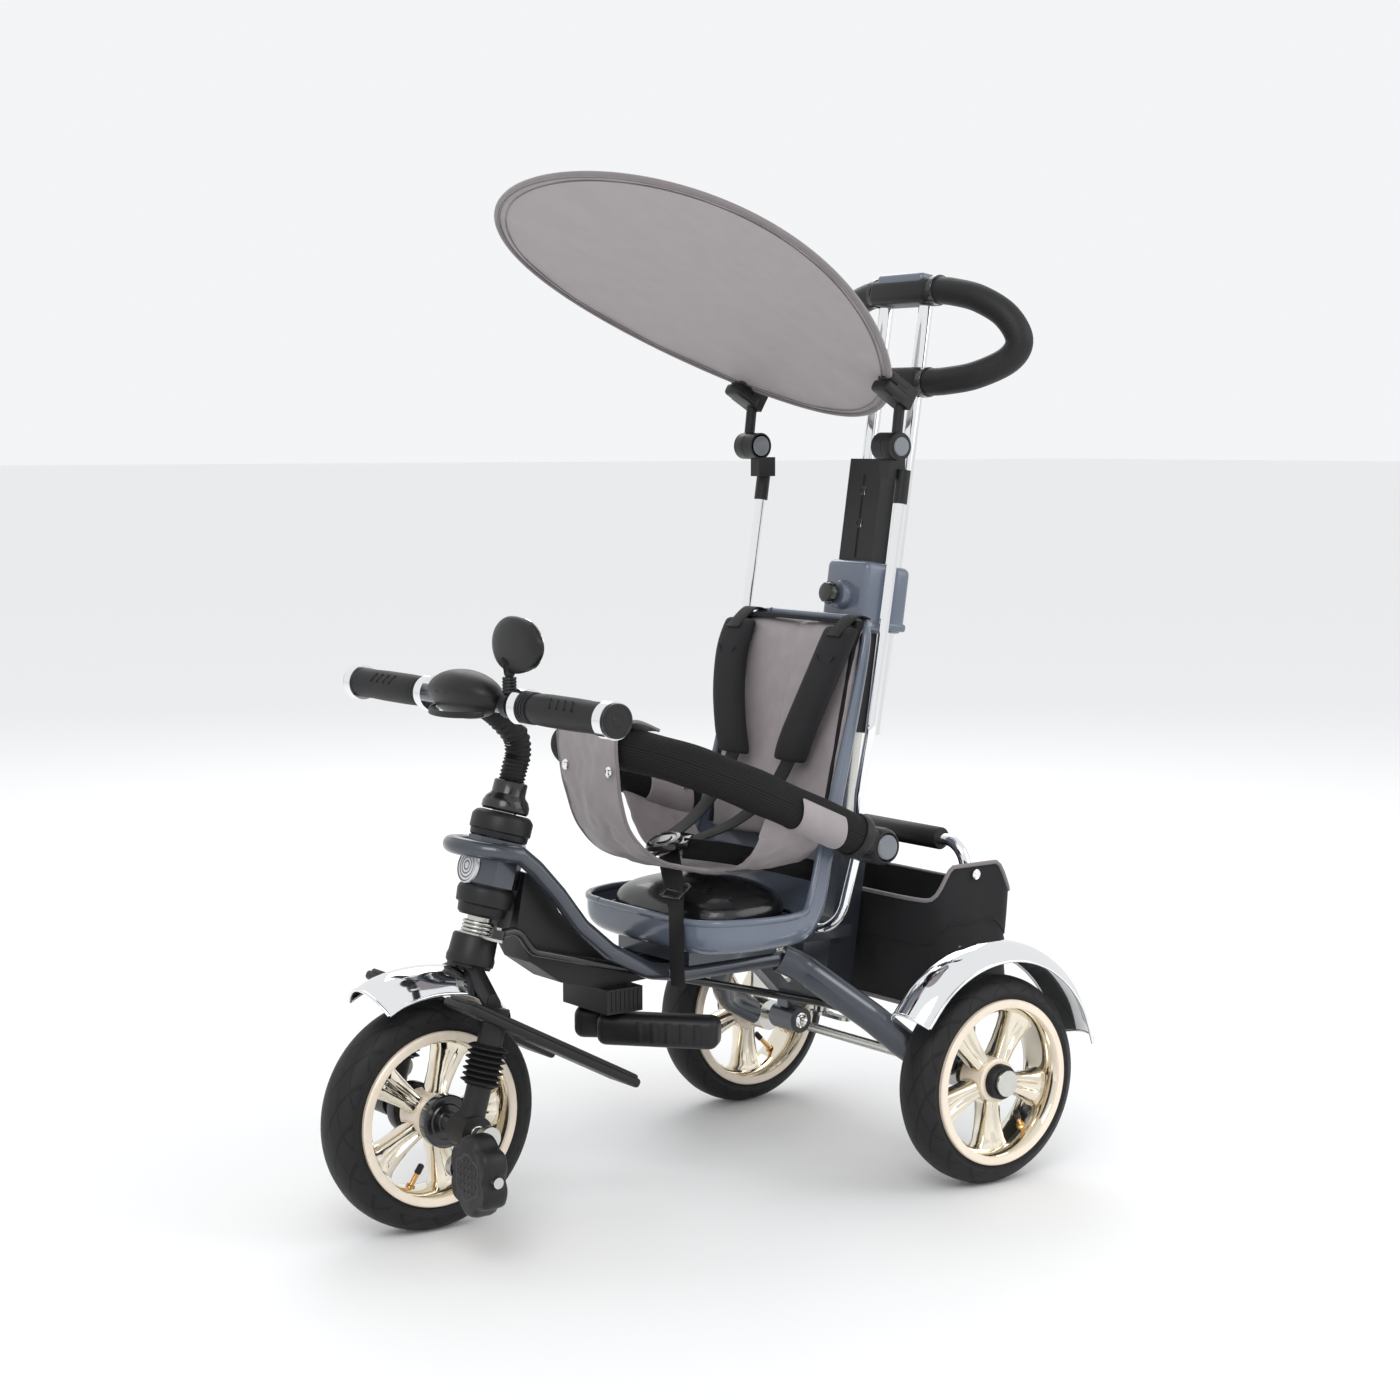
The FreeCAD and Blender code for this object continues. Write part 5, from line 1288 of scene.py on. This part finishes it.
class TRICYCLE_OT_back_cover(bpy.types.Operator):
    """Quilted back cover with a centre seam, bindings and two shoulder pads"""
    bl_idname = "tricycle.back_cover"
    bl_label = "Back cover"

    def execute(self, context):
        def surface(up, across):
            x = (across * 2 - 1) * (110 + 4 * math.sin(math.pi * up))
            z = 398 + 266 * up
            edge = 1 - abs(across * 2 - 1) ** 4
            ends = min(1.0, up * 9, (1 - up) * 9)
            puff_out = 11.5 * (edge ** 0.5) * ends ** 0.5
            puff_out -= 4.2 * math.exp(-((x / 4.5) ** 2))
            puff_out -= 16.0 * max(0.0, (up - 0.93) / 0.07) ** 2
            return on_back(x, z, 13.5 + puff_out)

        front = cloth_surface(surface, 48, 60, 7.0)
        subdivide(front)
        rumple(front, 2.2, 22.0)
        finish_piece(front, "back_cover_pad", "frame", "cloth", ("back_cover",), 80)
        edge = [on_back(-108, 402 + 256 * step / 24, 17) for step in range(25)]
        edge += [on_back(-108 + 216 * step / 20, 661, 17 + 6 * math.sin(math.pi * step / 20))
                 for step in range(21)]
        edge += [on_back(108, 658 - 256 * step / 24, 17) for step in range(25)]
        binding = ribbon(edge, 12, 5.0, Vector((0, -1, 0.1)))
        soften(binding, 1.8, 3)
        finish_piece(binding, "back_cover_binding", "frame", "canvas", (), 60)
        stitches = []
        for x in (-3.4, 3.4):
            for index in range(36):
                z = 412 + index * 6.6
                stitches.append(block((0.9, 0.9, 4.0), on_back(x, z, 22.6), Matrix.Rotation(
                    -BACK_LEAN, 4, "X"), 0.35, 1))
        finish_piece(joined(stitches), "back_cover_stitches", "frame", "binding", (), 40)
        for side, sign in SIDES:
            path = [(98, 654, 34), (95, 614, 43), (82, 564, 48), (65, 518, 48), (54, 488, 44)]
            rings = []
            line = curve_points([on_back(x * sign, z, out) for x, z, out in path], 17)
            for index, point in enumerate(line):
                share = index / 16
                ends = min(1.0, share * 6, (1 - share) * 6) ** 0.5
                ring = []
                for step in range(24):
                    angle = 2 * math.pi * step / 24
                    wide = math.copysign(abs(math.cos(angle)) ** 0.55, math.cos(angle)) * 29
                    depth = 8.5 * (0.45 + 0.55 * ends)
                    deep = math.copysign(abs(math.sin(angle)) ** 0.8, math.sin(angle)) * depth
                    out = Vector((0, -math.cos(BACK_LEAN), math.sin(BACK_LEAN)))
                    ring.append(point + ACROSS * (wide * MM) + out * (deep * MM))
                rings.append(ring)
            pad = skin(rings)
            subdivide(pad)
            finish_piece(pad, f"shoulder_pad_{side}", "frame", "canvas", (), 80)
            fold = ribbon([on_back(x * sign, z, 52) for x, z in ((112, 616), (96, 596), (80, 616))], 3, 1.2)
            finish_piece(fold, f"shoulder_flap_{side}", "frame", "webbing", (), 60)
        return {"FINISHED"}


def strap(points, width, name, body, side=ACROSS, count=40, thickness=1.8):
    """A webbing strap along a smooth route."""
    piece = ribbon(curve_points(points, count), width, thickness, side)
    soften(piece, 0.5, 2, 60)
    return finish_piece(piece, name, body, "webbing", (), 80)


class TRICYCLE_OT_harness(bpy.types.Operator):
    """Shoulder, lap and crotch straps with their buckle and slider"""
    bl_idname = "tricycle.harness"
    bl_label = "Harness"

    def execute(self, context):
        for side, sign in SIDES:
            route = [on_back(99 * sign, 668, 4), on_back(99 * sign, 667, 24), on_back(98 * sign, 640, 47)]
            strap(route, 25, f"shoulder_strap_top_{side}", "frame")
            lower = [on_back(55 * sign, 494, 44), at(50 * sign, 446, 462), at(38 * sign, 400, 428),
                     at(20 * sign, 345, 408)]
            strap(lower, 25, f"shoulder_strap_{side}", "frame")
            lap = [at(112 * sign, 470, 372), at(92 * sign, 430, 384), at(58 * sign, 378, 396),
                   at(22 * sign, 338, 402)]
            strap(lap, 25, f"lap_strap_{side}", "frame", Vector((0, 0, 1)))
        strap([at(4, 330, 394), at(24, 318, 386), at(52, 302, 372), at(76, 288, 350), at(84, 283, 318),
               at(85, 283, 282), at(85, 285, 252)], 27, "crotch_strap", "frame")
        facing = Vector((0, -0.35, 1)).normalized()
        buckle = lathe([(-6, 0), (-6, 18), (-4, 22.4), (2, 23), (5, 21), (6, 17), (4.6, 15.4), (4.6, 11),
                        (6.2, 9.4), (6.2, 0)], at(0, 327, 406), facing, 48)
        prongs = []
        for angle in (35, 145, 270):
            turn = Matrix.Rotation(math.radians(angle), 4, "Z")
            base = turned(facing)
            spot = at(0, 327, 404) + base.to_3x3() @ (turn.to_3x3() @ Vector((25 * MM, 0, 0)))
            prongs.append(block((17, 26, 6), spot, base @ turn, 2.2, 3))
        finish_piece(joined([buckle] + prongs), "buckle", "frame", "gloss", ("harness",), 40)
        slope = Matrix.Rotation(math.radians(40), 4, "X")
        slider = [block((38, 5, 3.4), at(66, 295 + shift * 0.7, 362 + shift * 0.8), slope, 1.4, 3)
                  for shift in (-9, 0, 9)]
        slider += [block((5, 24, 3.4), at(66 + 16.5 * side, 295, 362), slope, 1.4, 3) for side in (-1, 1)]
        finish_piece(joined(slider), "crotch_slider", "frame", "gloss", (), 40)
        return {"FINISHED"}


# ---------------------------------------------------------------- bumper bar and sling

def bar_point(x, y, above=0.0):
    return at(x, y, 403 + (530 - y) * 122 / 278 + above)


class TRICYCLE_OT_bumper(bpy.types.Operator):
    """Mesh-covered bumper bar with its barrels and press discs"""
    bl_idname = "tricycle.bumper"
    bl_label = "Bumper bar"

    def execute(self, context):
        half = [(150, 498), (150, 440), (150, 380), (147, 335), (132, 293), (104, 264), (66, 251), (30, 248)]
        route = [bar_point(x, y) for x, y in half] + [bar_point(0, 247.5)]
        route += [bar_point(-x, y) for x, y in reversed(half)]
        smooth_route = curve_points(route, 97)

        def girth(share):
            return 24.6 - 0.5 * math.cos(share * math.pi * 2 * 9)

        bar = tube(smooth_route, girth, 40)
        finish_piece(bar, "bumper_bar_cover", "bumper", "mesh", ("bumper_bar",), 80)
        seam = [point + Vector((0, 0, -24.2 * MM)) for point in smooth_route]
        finish_piece(tube(seam, 1.3, 8), "bumper_bar_seam", "bumper", "canvas", (), 60)
        slope = math.atan(122 / 278)
        pivot = at(0, 530, 403)
        for side, sign in SIDES:
            barrel = lathe([(132.6, 0), (132.6, 20.5), (134, 22.4), (158, 22.4), (163, 21.6), (167.6, 19.0),
                            (168, 17.2), (165, 15.4), (160, 15.2), (160, 0)], pivot, ACROSS * sign, 48)
            neck = block((35, 46, 30), bar_point(150 * sign, 508), Matrix.Rotation(-slope, 4, "X"), 8, 4)
            collar = lathe([(0, 0), (0, 26.2), (3, 27), (11, 27), (13, 26), (13, 0)],
                           bar_point(150 * sign, 503), Vector((0, -math.cos(slope), math.sin(slope))), 40)
            finish_piece(joined([barrel, neck, collar]), f"bumper_barrel_{side}", "bumper", "nylon",
                         ("bumper_bar",), 35)
            inner = lathe([(100, 0), (100, 20), (102, 22.4), (130, 22.4), (131.6, 20.5), (131.6, 0)],
                          pivot, ACROSS * sign, 48)
            finish_piece(inner, f"pivot_barrel_{side}", "frame", "nylon", ("pivot_barrels",), 35)
            disc = lathe([(162.2, 0), (162.2, 14.8), (169, 14.8), (170.6, 13.4), (170.8, 11), (170.2, 0)],
                         pivot, ACROSS * sign, 40)
            node = f"bumper_button_{side}"
            finish_piece(disc, f"{node}_face", f"button_{side}", "disc", (node,), 35)
        return {"FINISHED"}


class TRICYCLE_OT_sling(bpy.types.Operator):
    """Cloth sling that hangs from the bumper bar between the child's legs"""
    bl_idname = "tricycle.sling"
    bl_label = "Bumper sling"

    def execute(self, context):
        middle_line = [bar_point(0, 262, 29), bar_point(0, 235, 27), bar_point(0, 217, 3), at(0, 220, 492),
                       at(0, 226, 462), at(0, 240, 426), at(0, 272, 396), at(0, 320, 381), at(0, 384, 374),
                       at(0, 446, 376)]
        line = curve_points(middle_line, 49)

        def strip(along, across):
            index = along * 48
            point = line[min(int(round(index)), 48)]
            t = across * 2 - 1
            waist = 60 - 6 * math.exp(-((along - 0.55) / 0.2) ** 2) + 8 * max(0.0, along - 0.7) * 3
            curl = 7.0 * t * t * math.sin(math.pi * min(1.0, along * 1.2))
            ripple = 2.2 * math.sin(across * 17 + along * 6) * (0.3 + along)
            wrap = 14.0 * t * t * max(0.0, 1 - along * 5)
            return point + Vector((t * waist, wrap, curl + ripple * 0.5)) * MM

        front = rumple(cloth_surface(strip, 28, 48, 2.6, 1), 3.6, 24.0)
        finish_piece(front, "sling_front", "bumper", "cloth", ("bumper_sling",), 80)
        for side, sign in SIDES:
            route = [at(x * sign, 0, z) for x, z in ((58, 376), (92, 381), (122, 398), (144, 424))]
            rows = curve_points(route, 25)

            def wing(along, across):
                base = rows[min(int(round(along * 24)), 24)]
                y = 368 + 92 * across
                rise = (530 - y) * 0.18 * along * along
                fold = 2.6 * math.sin(across * 9 + along * 4)
                hollow = 12 * along * (across - 0.5) ** 2
                return Vector((base.x, at(0, y, 0).y, base.z + (rise + fold * 0.4 + hollow) * MM))

            panel = rumple(cloth_surface(wing, 20, 24, 2.4, 1), 3.4, 26.0)
            finish_piece(panel, f"sling_side_{side}", "bumper", "cloth", ("bumper_sling",), 80)
            def cuff(along, across):
                y = 396 + 66 * across
                centre = bar_point(150 * sign, y)
                angle = math.radians(-118 + 250 * along)
                out = Vector((math.sin(angle) * sign * -1, 0, -math.cos(angle)))
                return centre + out * (27.2 * MM)

            strip_piece = cloth_surface(cuff, 10, 28, 2.0, 1)
            finish_piece(strip_piece, f"sling_cuff_{side}", "bumper", "cloth", (), 80)
            studs = []
            for y in (410, 448):
                angle = math.radians(118)
                out = Vector((math.sin(angle) * sign * -1, 0, -math.cos(angle)))
                studs.append(snap(bar_point(150 * sign, y) + out * (28.0 * MM), out))
            finish_piece(joined(studs), f"sling_snaps_{side}", "bumper", "chrome", (), 40)
        studs = [snap(strip(0.32, share) + Vector((0, -2.4 * MM, 0)), Vector((0, -1, 0.1)))
                 for share in (0.12, 0.88)]
        finish_piece(joined(studs), "sling_snaps_front", "bumper", "chrome", (), 40)
        for side, edge in (("left", 1.0), ("right", 0.0)):
            hem = tube([strip(step / 48, edge) for step in range(49)], 2.2, 8)
            finish_piece(hem, f"sling_binding_{side}", "bumper", "binding", (), 60)
        return {"FINISHED"}


# ---------------------------------------------------------------- sunshade

SHADE_TILT = math.radians(30.8)
HEM_LEVEL = 0.955
SHADE_FORWARD = Vector((0, -math.cos(SHADE_TILT), math.sin(SHADE_TILT)))
SHADE_UP = Vector((0, math.sin(SHADE_TILT), math.cos(SHADE_TILT)))


def on_shade(angle, share, above=0.0, grow=0.0):
    """A point of the egg-shaped sunshade: share runs from its middle to its rim."""
    x = (258 + grow) * math.sin(angle) * (1 + 0.30 * math.cos(angle)) * share
    forward = (260 + grow) * math.cos(angle) * share
    centre = at(0, 394.5, 1043.7)
    return centre + ACROSS * (x * MM) + SHADE_FORWARD * (forward * MM) + SHADE_UP * ((3 + above) * MM)


class TRICYCLE_OT_sunshade(bpy.types.Operator):
    """Egg-shaped cloth sunshade stretched on a sprung rim"""
    bl_idname = "tricycle.sunshade"
    bl_label = "Sunshade"

    def execute(self, context):
        sag = context.scene.tricycle_sizes.shade_sag / MM
        steps = 96
        levels = [0.0, 0.12, 0.26, 0.4, 0.54, 0.68, 0.8, 0.88, 0.93, HEM_LEVEL, 0.975, 1.0]
        rings = []
        for share in levels:
            ring = []
            for step in range(steps):
                angle = 2 * math.pi * step / steps
                bow = sag * (1 - share * share)
                strain = 1.5 * math.sin(angle * 14) * share ** 6 * (1 - share) * 8
                hem = -0.9 * math.exp(-((share - HEM_LEVEL) / 0.008) ** 2)
                ring.append(on_shade(angle, max(share, 0.004), bow + strain + hem - 2.0, -3))
            rings.append(ring)
        cloth = skin(list(reversed(rings)), capped=False)
        mesh = cloth.data
        face_outward(cloth, merge=True)
        bm = bmesh.new()
        bm.from_mesh(mesh)
        inner = [edge for edge in bm.edges if edge.is_boundary
                 and (edge.verts[0].co - on_shade(0, 0.0)).length < 0.03]
        bmesh.ops.holes_fill(bm, edges=inner, sides=0)
        bm.to_mesh(mesh)
        bm.free()
        apply(cloth, "SOLIDIFY", thickness=2.4 * MM, offset=0.0)
        subdivide(cloth)
        finish_piece(cloth, "sunshade_cloth", "canopy", "cloth", ("canopy_disc",), 80)
        rim_route = [on_shade(2 * math.pi * step / 160, 1.0, -2.0, -3.5) for step in range(160)]
        rim = tube(rim_route, 3.4, 12, True)
        finish_piece(rim, "sunshade_rim", "canopy", "binding", (), 60)
        for level, above in ((HEM_LEVEL, 1.6), (HEM_LEVEL, -2.4), (0.985, -3.0)):
            ring = [on_shade(2 * math.pi * step / 120, level, above - 1.2, -3) for step in range(120)]
            name = f"sunshade_seam_{round(level * 1000)}_{'top' if above > 0 else 'below'}"
            finish_piece(tube(ring, 0.8, 6, True), name, "canopy", "binding", (), 60)
        stitches = []
        for step in range(300):
            angle = 2 * math.pi * step / 300
            nearby = 2 * math.pi * (step + 0.55) / 300
            stitches.append([on_shade(turn, HEM_LEVEL, -0.6, -3) for turn in (angle, nearby)])
        mesh = bpy.data.meshes.new("stitches")
        points, faces = [], []
        for start, end in stitches:
            side = (end - start).normalized().cross(SHADE_UP) * (0.55 * MM)
            base = len(points)
            for above in (0.9, -1.6):
                lift = SHADE_UP * (above * MM)
                points += [start - side + lift, start + side + lift, end + side + lift, end - side + lift]
            faces += [(base, base + 1, base + 2, base + 3), (base + 7, base + 6, base + 5, base + 4)]
            for corner in range(4):
                following = (corner + 1) % 4
                faces.append((base + corner, base + 4 + corner, base + 4 + following, base + following))
        mesh.from_pydata(points, [], faces)
        hem = face_outward(placed("hem", mesh))
        finish_piece(hem, "sunshade_hem", "canopy", "binding", (), 30)
        for side, sign in SIDES:
            spot = at(142 * sign, 556, 946)
            tilt = Matrix.Rotation(-SHADE_TILT, 4, "X")
            lower = block((30, 38, 15), spot + SHADE_UP * (-10 * MM), tilt, 5, 4)
            upper = block((27, 34, 13), spot + SHADE_UP * (3 * MM), tilt, 5, 4)
            finish_piece(joined([lower, upper]), f"sunshade_clamp_{side}", "canopy", "nylon", (), 40)
            hinge = at(0, 561, 874)
            fixed = lathe([(116, 0), (116, 14.5), (118, 16.3), (131, 16.3), (132.8, 15), (132.8, 0)], hinge,
                          ACROSS * sign, 40)
            fixed_face = lathe([(113.4, 0), (113.4, 9), (115, 12.4), (116.4, 12.4), (116.4, 0)], hinge,
                               ACROSS * sign, 40)
            finish_piece(fixed, f"sunshade_knuckle_{side}", "frame", "nylon", (), 35)
            finish_piece(fixed_face, f"sunshade_knuckle_cap_{side}", "frame", "disc", (), 35)
            moving = lathe([(134, 0), (134, 15), (136, 16.6), (148, 16.6), (151, 14.6), (151.6, 12.6),
                            (152.2, 12.2), (152.4, 0)], hinge, ACROSS * sign, 40)
            finish_piece(moving, f"sunshade_hinge_{side}", "canopy", "nylon", (), 35)
            face = lathe([(152.0, 0), (152.0, 11.4), (153.4, 10.6), (153.6, 0)], hinge, ACROSS * sign, 40)
            finish_piece(face, f"sunshade_hinge_cap_{side}", "canopy", "disc", (), 35)
        return {"FINISHED"}


# ---------------------------------------------------------------- push bar

class TRICYCLE_OT_push_bar(bpy.types.Operator):
    """Push bar's knob, hub covers and foam ring"""
    bl_idname = "tricycle.push_bar"
    bl_label = "Push bar"

    def execute(self, context):
        lean = Matrix.Rotation(-math.atan2(PUSH_AXIS.y, PUSH_AXIS.z), 4, "X")
        knob = lathe([(63, 0), (63, 9), (65, 12.4), (73, 13), (76, 11.4), (77, 8), (77, 0)],
                     on_push(519), PUSH_BACK * -1, 36)
        ribs = []
        for index in range(12):
            angle = 2 * math.pi * index / 12
            offset = Vector((math.cos(angle) * 12.6, 0, math.sin(angle) * 12.6))
            spot = on_push(519 + offset.z, offset.x, -69.5)
            ribs.append(block((2.4, 9, 2.4), spot, lean, 0.9, 2))
        finish_piece(joined([knob] + ribs), "height_knob", "knob", "gloss", ("push_knob",), 35)
        boss = lathe([(44, 0), (44, 18.5), (56, 17.6), (59, 16), (59, 9), (57, 8.6), (57, 0)], on_push(519),
                     PUSH_BACK * -1, 40)
        finish_piece(boss, "knob_boss", "push_turn", "shell", (), 35)
        collar = block((79, 45, 88), on_push(519, 0, -24), lean, 9, 5)
        wings = block((109, 29, 82), on_push(519, 0, 0), lean, 9, 5)
        ridge = block((110.5, 30.5, 10), on_push(486, 0, 0), lean, 3.5, 4)
        ridge_front = block((81, 46.5, 10), on_push(483, 0, -24), lean, 3.5, 4)
        finish_piece(joined([collar, wings, ridge, ridge_front]), "collar_cover", "push_turn", "shell",
                     ("push_collar",), 35)
        upper = block((112, 38.6, 31), on_push(902, 0, 0), lean, 9, 5)
        cap = block((84, 36.8, 15), on_push(917, 0, 0), lean, 5.5, 4)
        lower = block((112, 37, 35), on_push(790, 0, 0), lean, 9, 5)
        finish_piece(joined([upper, lower]), "hub_cover", "push_slide", "nylon", ("handle_hub",), 35)
        finish_piece(cap, "hub_cap", "push_slide", "shell", (), 35)
        for side, sign in SIDES:
            route = [(904, 54, 0), (901, 82, 4), (893, 118, 13), (874, 152, 28), (846, 168, 40),
                     (822, 156, 38), (801, 122, 20), (792, 84, 6), (790, 54, 0)]
            points = curve_points([on_push(s, x * sign, back) for s, x, back in route], 73)

            def girth(share):
                ends = min(share, 1 - share)
                return 16.9 - 1.6 * math.exp(-(ends / 0.012) ** 2)

            foam = tube(points, girth, 32)
            finish_piece(foam, f"foam_grip_{side}", "push_slide", "foam", ("handle_foam",), 80)
            for end, place in ((points[0], "top"), (points[-1], "low")):
                ring = lathe([(-3, 0), (-3, 18.4), (4, 18.4), (5, 17.2), (5, 0)],
                             Vector((56 * MM * sign, end.y, end.z)), ACROSS * sign, 32)
                finish_piece(ring, f"foam_collar_{side}_{place}", "push_slide", "gloss", (), 35)
        return {"FINISHED"}


# ---------------------------------------------------------------- basket

class TRICYCLE_OT_basket(bpy.types.Operator):
    """Canvas basket with piping, side tabs and press studs, and its padded carrying bar"""
    bl_idname = "tricycle.basket"
    bl_label = "Basket"

    def execute(self, context):
        low_y, high_y = 615.5, 765.0
        middle_y = (low_y + high_y) / 2

        def wall_point(around, up):
            """A point of the basket's soft wall: around from 0 to 1, up from floor to rim."""
            angle = 2 * math.pi * around
            c, s = math.cos(angle), math.sin(angle)
            half_x = 147 - 3 * math.sin(math.pi * up)
            half_y = (high_y - low_y) / 2 - 2.5 * math.sin(math.pi * up)
            reach = oval_reach(angle, half_x, half_y, 7.0)
            x = reach * c
            y = middle_y + reach * s
            top = 324.0
            if abs(x) > 120 and abs(y - 690) < 72:
                top += 40.0 * (0.5 + 0.5 * math.cos(math.pi * min(1.0, max(0.0, (abs(y - 690) - 34) / 34))))
            z = 189.5 + (top - 189.5) * up
            wave = 1.6 * math.sin(around * 2 * math.pi * 9 + up * 4) * math.sin(math.pi * up)
            seam = -1.8 * math.exp(-((z - 268) / 3.0) ** 2)
            shift = wave + seam
            return at(x + c * shift, y + s * shift, z)

        around = 160
        rings = [[wall_point(step / around, up / 28) for step in range(around)] for up in range(29)]
        walls = skin(rings, capped=False)
        face_outward(walls, merge=True)
        apply(walls, "SOLIDIFY", thickness=3.0 * MM, offset=-1.0)
        floor_piece = block((292, 147, 5), at(0, middle_y, 191), None, 2.2, 3)
        body = joined([walls, floor_piece])
        canvas = finish_piece(body, "basket_canvas", "frame", "canvas", ("basket",), 60)
        for level, name in ((1.0, "rim"), (0.02, "foot")):
            route = [wall_point(step / around, level) for step in range(around)]
            finish_piece(tube(route, 2.6, 8, True), f"basket_piping_{name}", "frame", "binding",
                                      (), 60)
        seam = [wall_point(step / around, 0.585) for step in range(around)]
        finish_piece(tube(seam, 1.2, 6, True), "basket_seam", "frame", "canvas", (), 60)
        studs = [snap(at(149.5 * sign, 690, 352), ACROSS * sign) for sign in (1, -1)]
        finish_piece(joined(studs), "basket_studs", "frame", "chrome", (), 40)
        link = lathe([(0, 0), (0, 15), (4, 16), (8, 15), (10, 11), (10, 0)], at(0, 604.5, 262),
                     Vector((0, 1, 0)), 40)
        finish_piece(link, "basket_connector", "frame", "nylon", (), 35)
        foam = lathe([(-75, 0), (-75, 12.6), (-73, 14), (73, 14), (75, 12.6), (75, 0)],
                     at(0, 700, 386), ACROSS, 32)
        finish_piece(foam, "carry_foam", "frame", "foam", ("luggage_foam",), 35)
        return {"FINISHED"}


# ---------------------------------------------------------------- carried-over steel, and the stage

STEEL = {
    "paint": ("head_tube", "frame_loop", "rear_legs", "seat_post", "handlebar_tube"),
    "nylon": ("belly_cover", "canopy_arms", "canopy_knuckles", "fork_legs", "fork_crown", "push_channel",
              "mirror_stalk"),
    "chrome": ("canopy_tube", "luggage_tube", "grip_rings", "push_tubes"),
    "zinc": ("steerer_stem", "steering_arm", "push_shaft", "steering_lever", "rear_axle", "crankshaft"),
    "gloss": ("steering_rod",),
    "mirror": ("mirror_glass",),
}


class TRICYCLE_OT_steel(bpy.types.Operator):
    """Finishes of the steel and moulded parts that keep their own shapes"""
    bl_idname = "tricycle.steel"
    bl_label = "Steel parts"

    def execute(self, context):
        for finish, names in STEEL.items():
            for name in names:
                node = frame["nodes"][name]
                node.data.materials.clear()
                node.data.materials.append(FINISHES[finish])
                for polygon in node.data.polygons:
                    polygon.material_index = 0
        strut_bolt = bolt(at(22, 518, 170), ACROSS, 7, 5)
        finish_piece(strut_bolt, "strut_bolt", "frame", "chrome")
        return {"FINISHED"}


class TRICYCLE_OT_stage(bpy.types.Operator):
    """Pale floor, soft lights and the camera"""
    bl_idname = "tricycle.stage"
    bl_label = "Stage"

    def execute(self, context):
        bpy.ops.object.select_all(action="DESELECT")
        bpy.ops.mesh.primitive_plane_add(size=160)
        floor = context.object
        floor.name = "floor"
        settings = Finish("floor_paper", (0.90, 0.90, 0.90), 0.7)
        floor.data.materials.append(settings.material)
        world = bpy.data.worlds.new("studio")
        world.use_nodes = True
        background = world.node_tree.nodes["Background"]
        background.inputs["Color"].default_value = (0.98, 0.99, 1.0, 1)
        background.inputs["Strength"].default_value = 0.92
        context.scene.world = world
        lights = (("key", (2.6, -2.6, 3.4), 62, 2.2), ("fill", (3.0, 2.4, 2.2), 30, 2.6),
                  ("back", (-2.6, 1.8, 3.0), 34, 2.4))
        for name, place, power, size in lights:
            lamp = bpy.data.lights.new(name, "AREA")
            lamp.energy = power
            lamp.size = size
            holder = bpy.data.objects.new(name, lamp)
            holder.location = place
            holder.rotation_euler = (Vector(place) - Vector((0, 0, 0.5))).to_track_quat("Z", "Y").to_euler()
            context.collection.objects.link(holder)
        lens = bpy.data.cameras.new("camera")
        lens.lens = 65.9
        lens.sensor_width = 36.0
        camera = bpy.data.objects.new("camera", lens)
        azimuth, elevation = math.radians(53.4), math.radians(5.82)
        back = Vector((math.sin(azimuth) * math.cos(elevation), -math.cos(azimuth) * math.cos(elevation),
                       math.sin(elevation)))
        camera.location = Vector((2.439, AXLE_Y - 1.432, 0.883))
        camera.rotation_euler = (-back).to_track_quat("-Z", "Y").to_euler()
        context.collection.objects.link(camera)
        context.scene.camera = camera
        context.scene.view_settings.view_transform = "Standard"
        return {"FINISHED"}


PIECES = (TRICYCLE_OT_stage, TRICYCLE_OT_steel, TRICYCLE_OT_wheels, TRICYCLE_OT_fenders, TRICYCLE_OT_pedals,
          TRICYCLE_OT_fork, TRICYCLE_OT_head, TRICYCLE_OT_handlebar, TRICYCLE_OT_mirror, TRICYCLE_OT_belly,
          TRICYCLE_OT_seat_shell, TRICYCLE_OT_cushion, TRICYCLE_OT_back_cover, TRICYCLE_OT_harness,
          TRICYCLE_OT_bumper, TRICYCLE_OT_sling, TRICYCLE_OT_sunshade, TRICYCLE_OT_push_bar,
          TRICYCLE_OT_basket)


class TRICYCLE_PT_pieces(bpy.types.Panel):
    """Sidebar panel with the tricycle's sizes, colours and pieces"""
    bl_idname = "TRICYCLE_PT_pieces"
    bl_label = "Tricycle"
    bl_space_type = "VIEW_3D"
    bl_region_type = "UI"
    bl_category = "Tricycle"

    def draw(self, context):
        for group in (context.scene.tricycle_sizes, context.scene.tricycle_colours):
            for name in group.__annotations__:
                self.layout.prop(group, name)
        for piece in PIECES:
            self.layout.operator(piece.bl_idname)


CLASSES = (TricycleSizes, TricycleColours) + PIECES + (TRICYCLE_PT_pieces,)


def register():
    for item in CLASSES:
        bpy.utils.register_class(item)
    bpy.types.Scene.tricycle_sizes = bpy.props.PointerProperty(type=TricycleSizes)
    bpy.types.Scene.tricycle_colours = bpy.props.PointerProperty(type=TricycleColours)


def unregister():
    del bpy.types.Scene.tricycle_colours
    del bpy.types.Scene.tricycle_sizes
    for item in reversed(CLASSES):
        bpy.utils.unregister_class(item)


def main():
    register()
    make_finishes(bpy.context.scene.tricycle_colours)
    for piece in PIECES:
        group, action = piece.bl_idname.split(".")
        getattr(getattr(bpy.ops, group), action)()


if __name__ == "__main__":
    main()
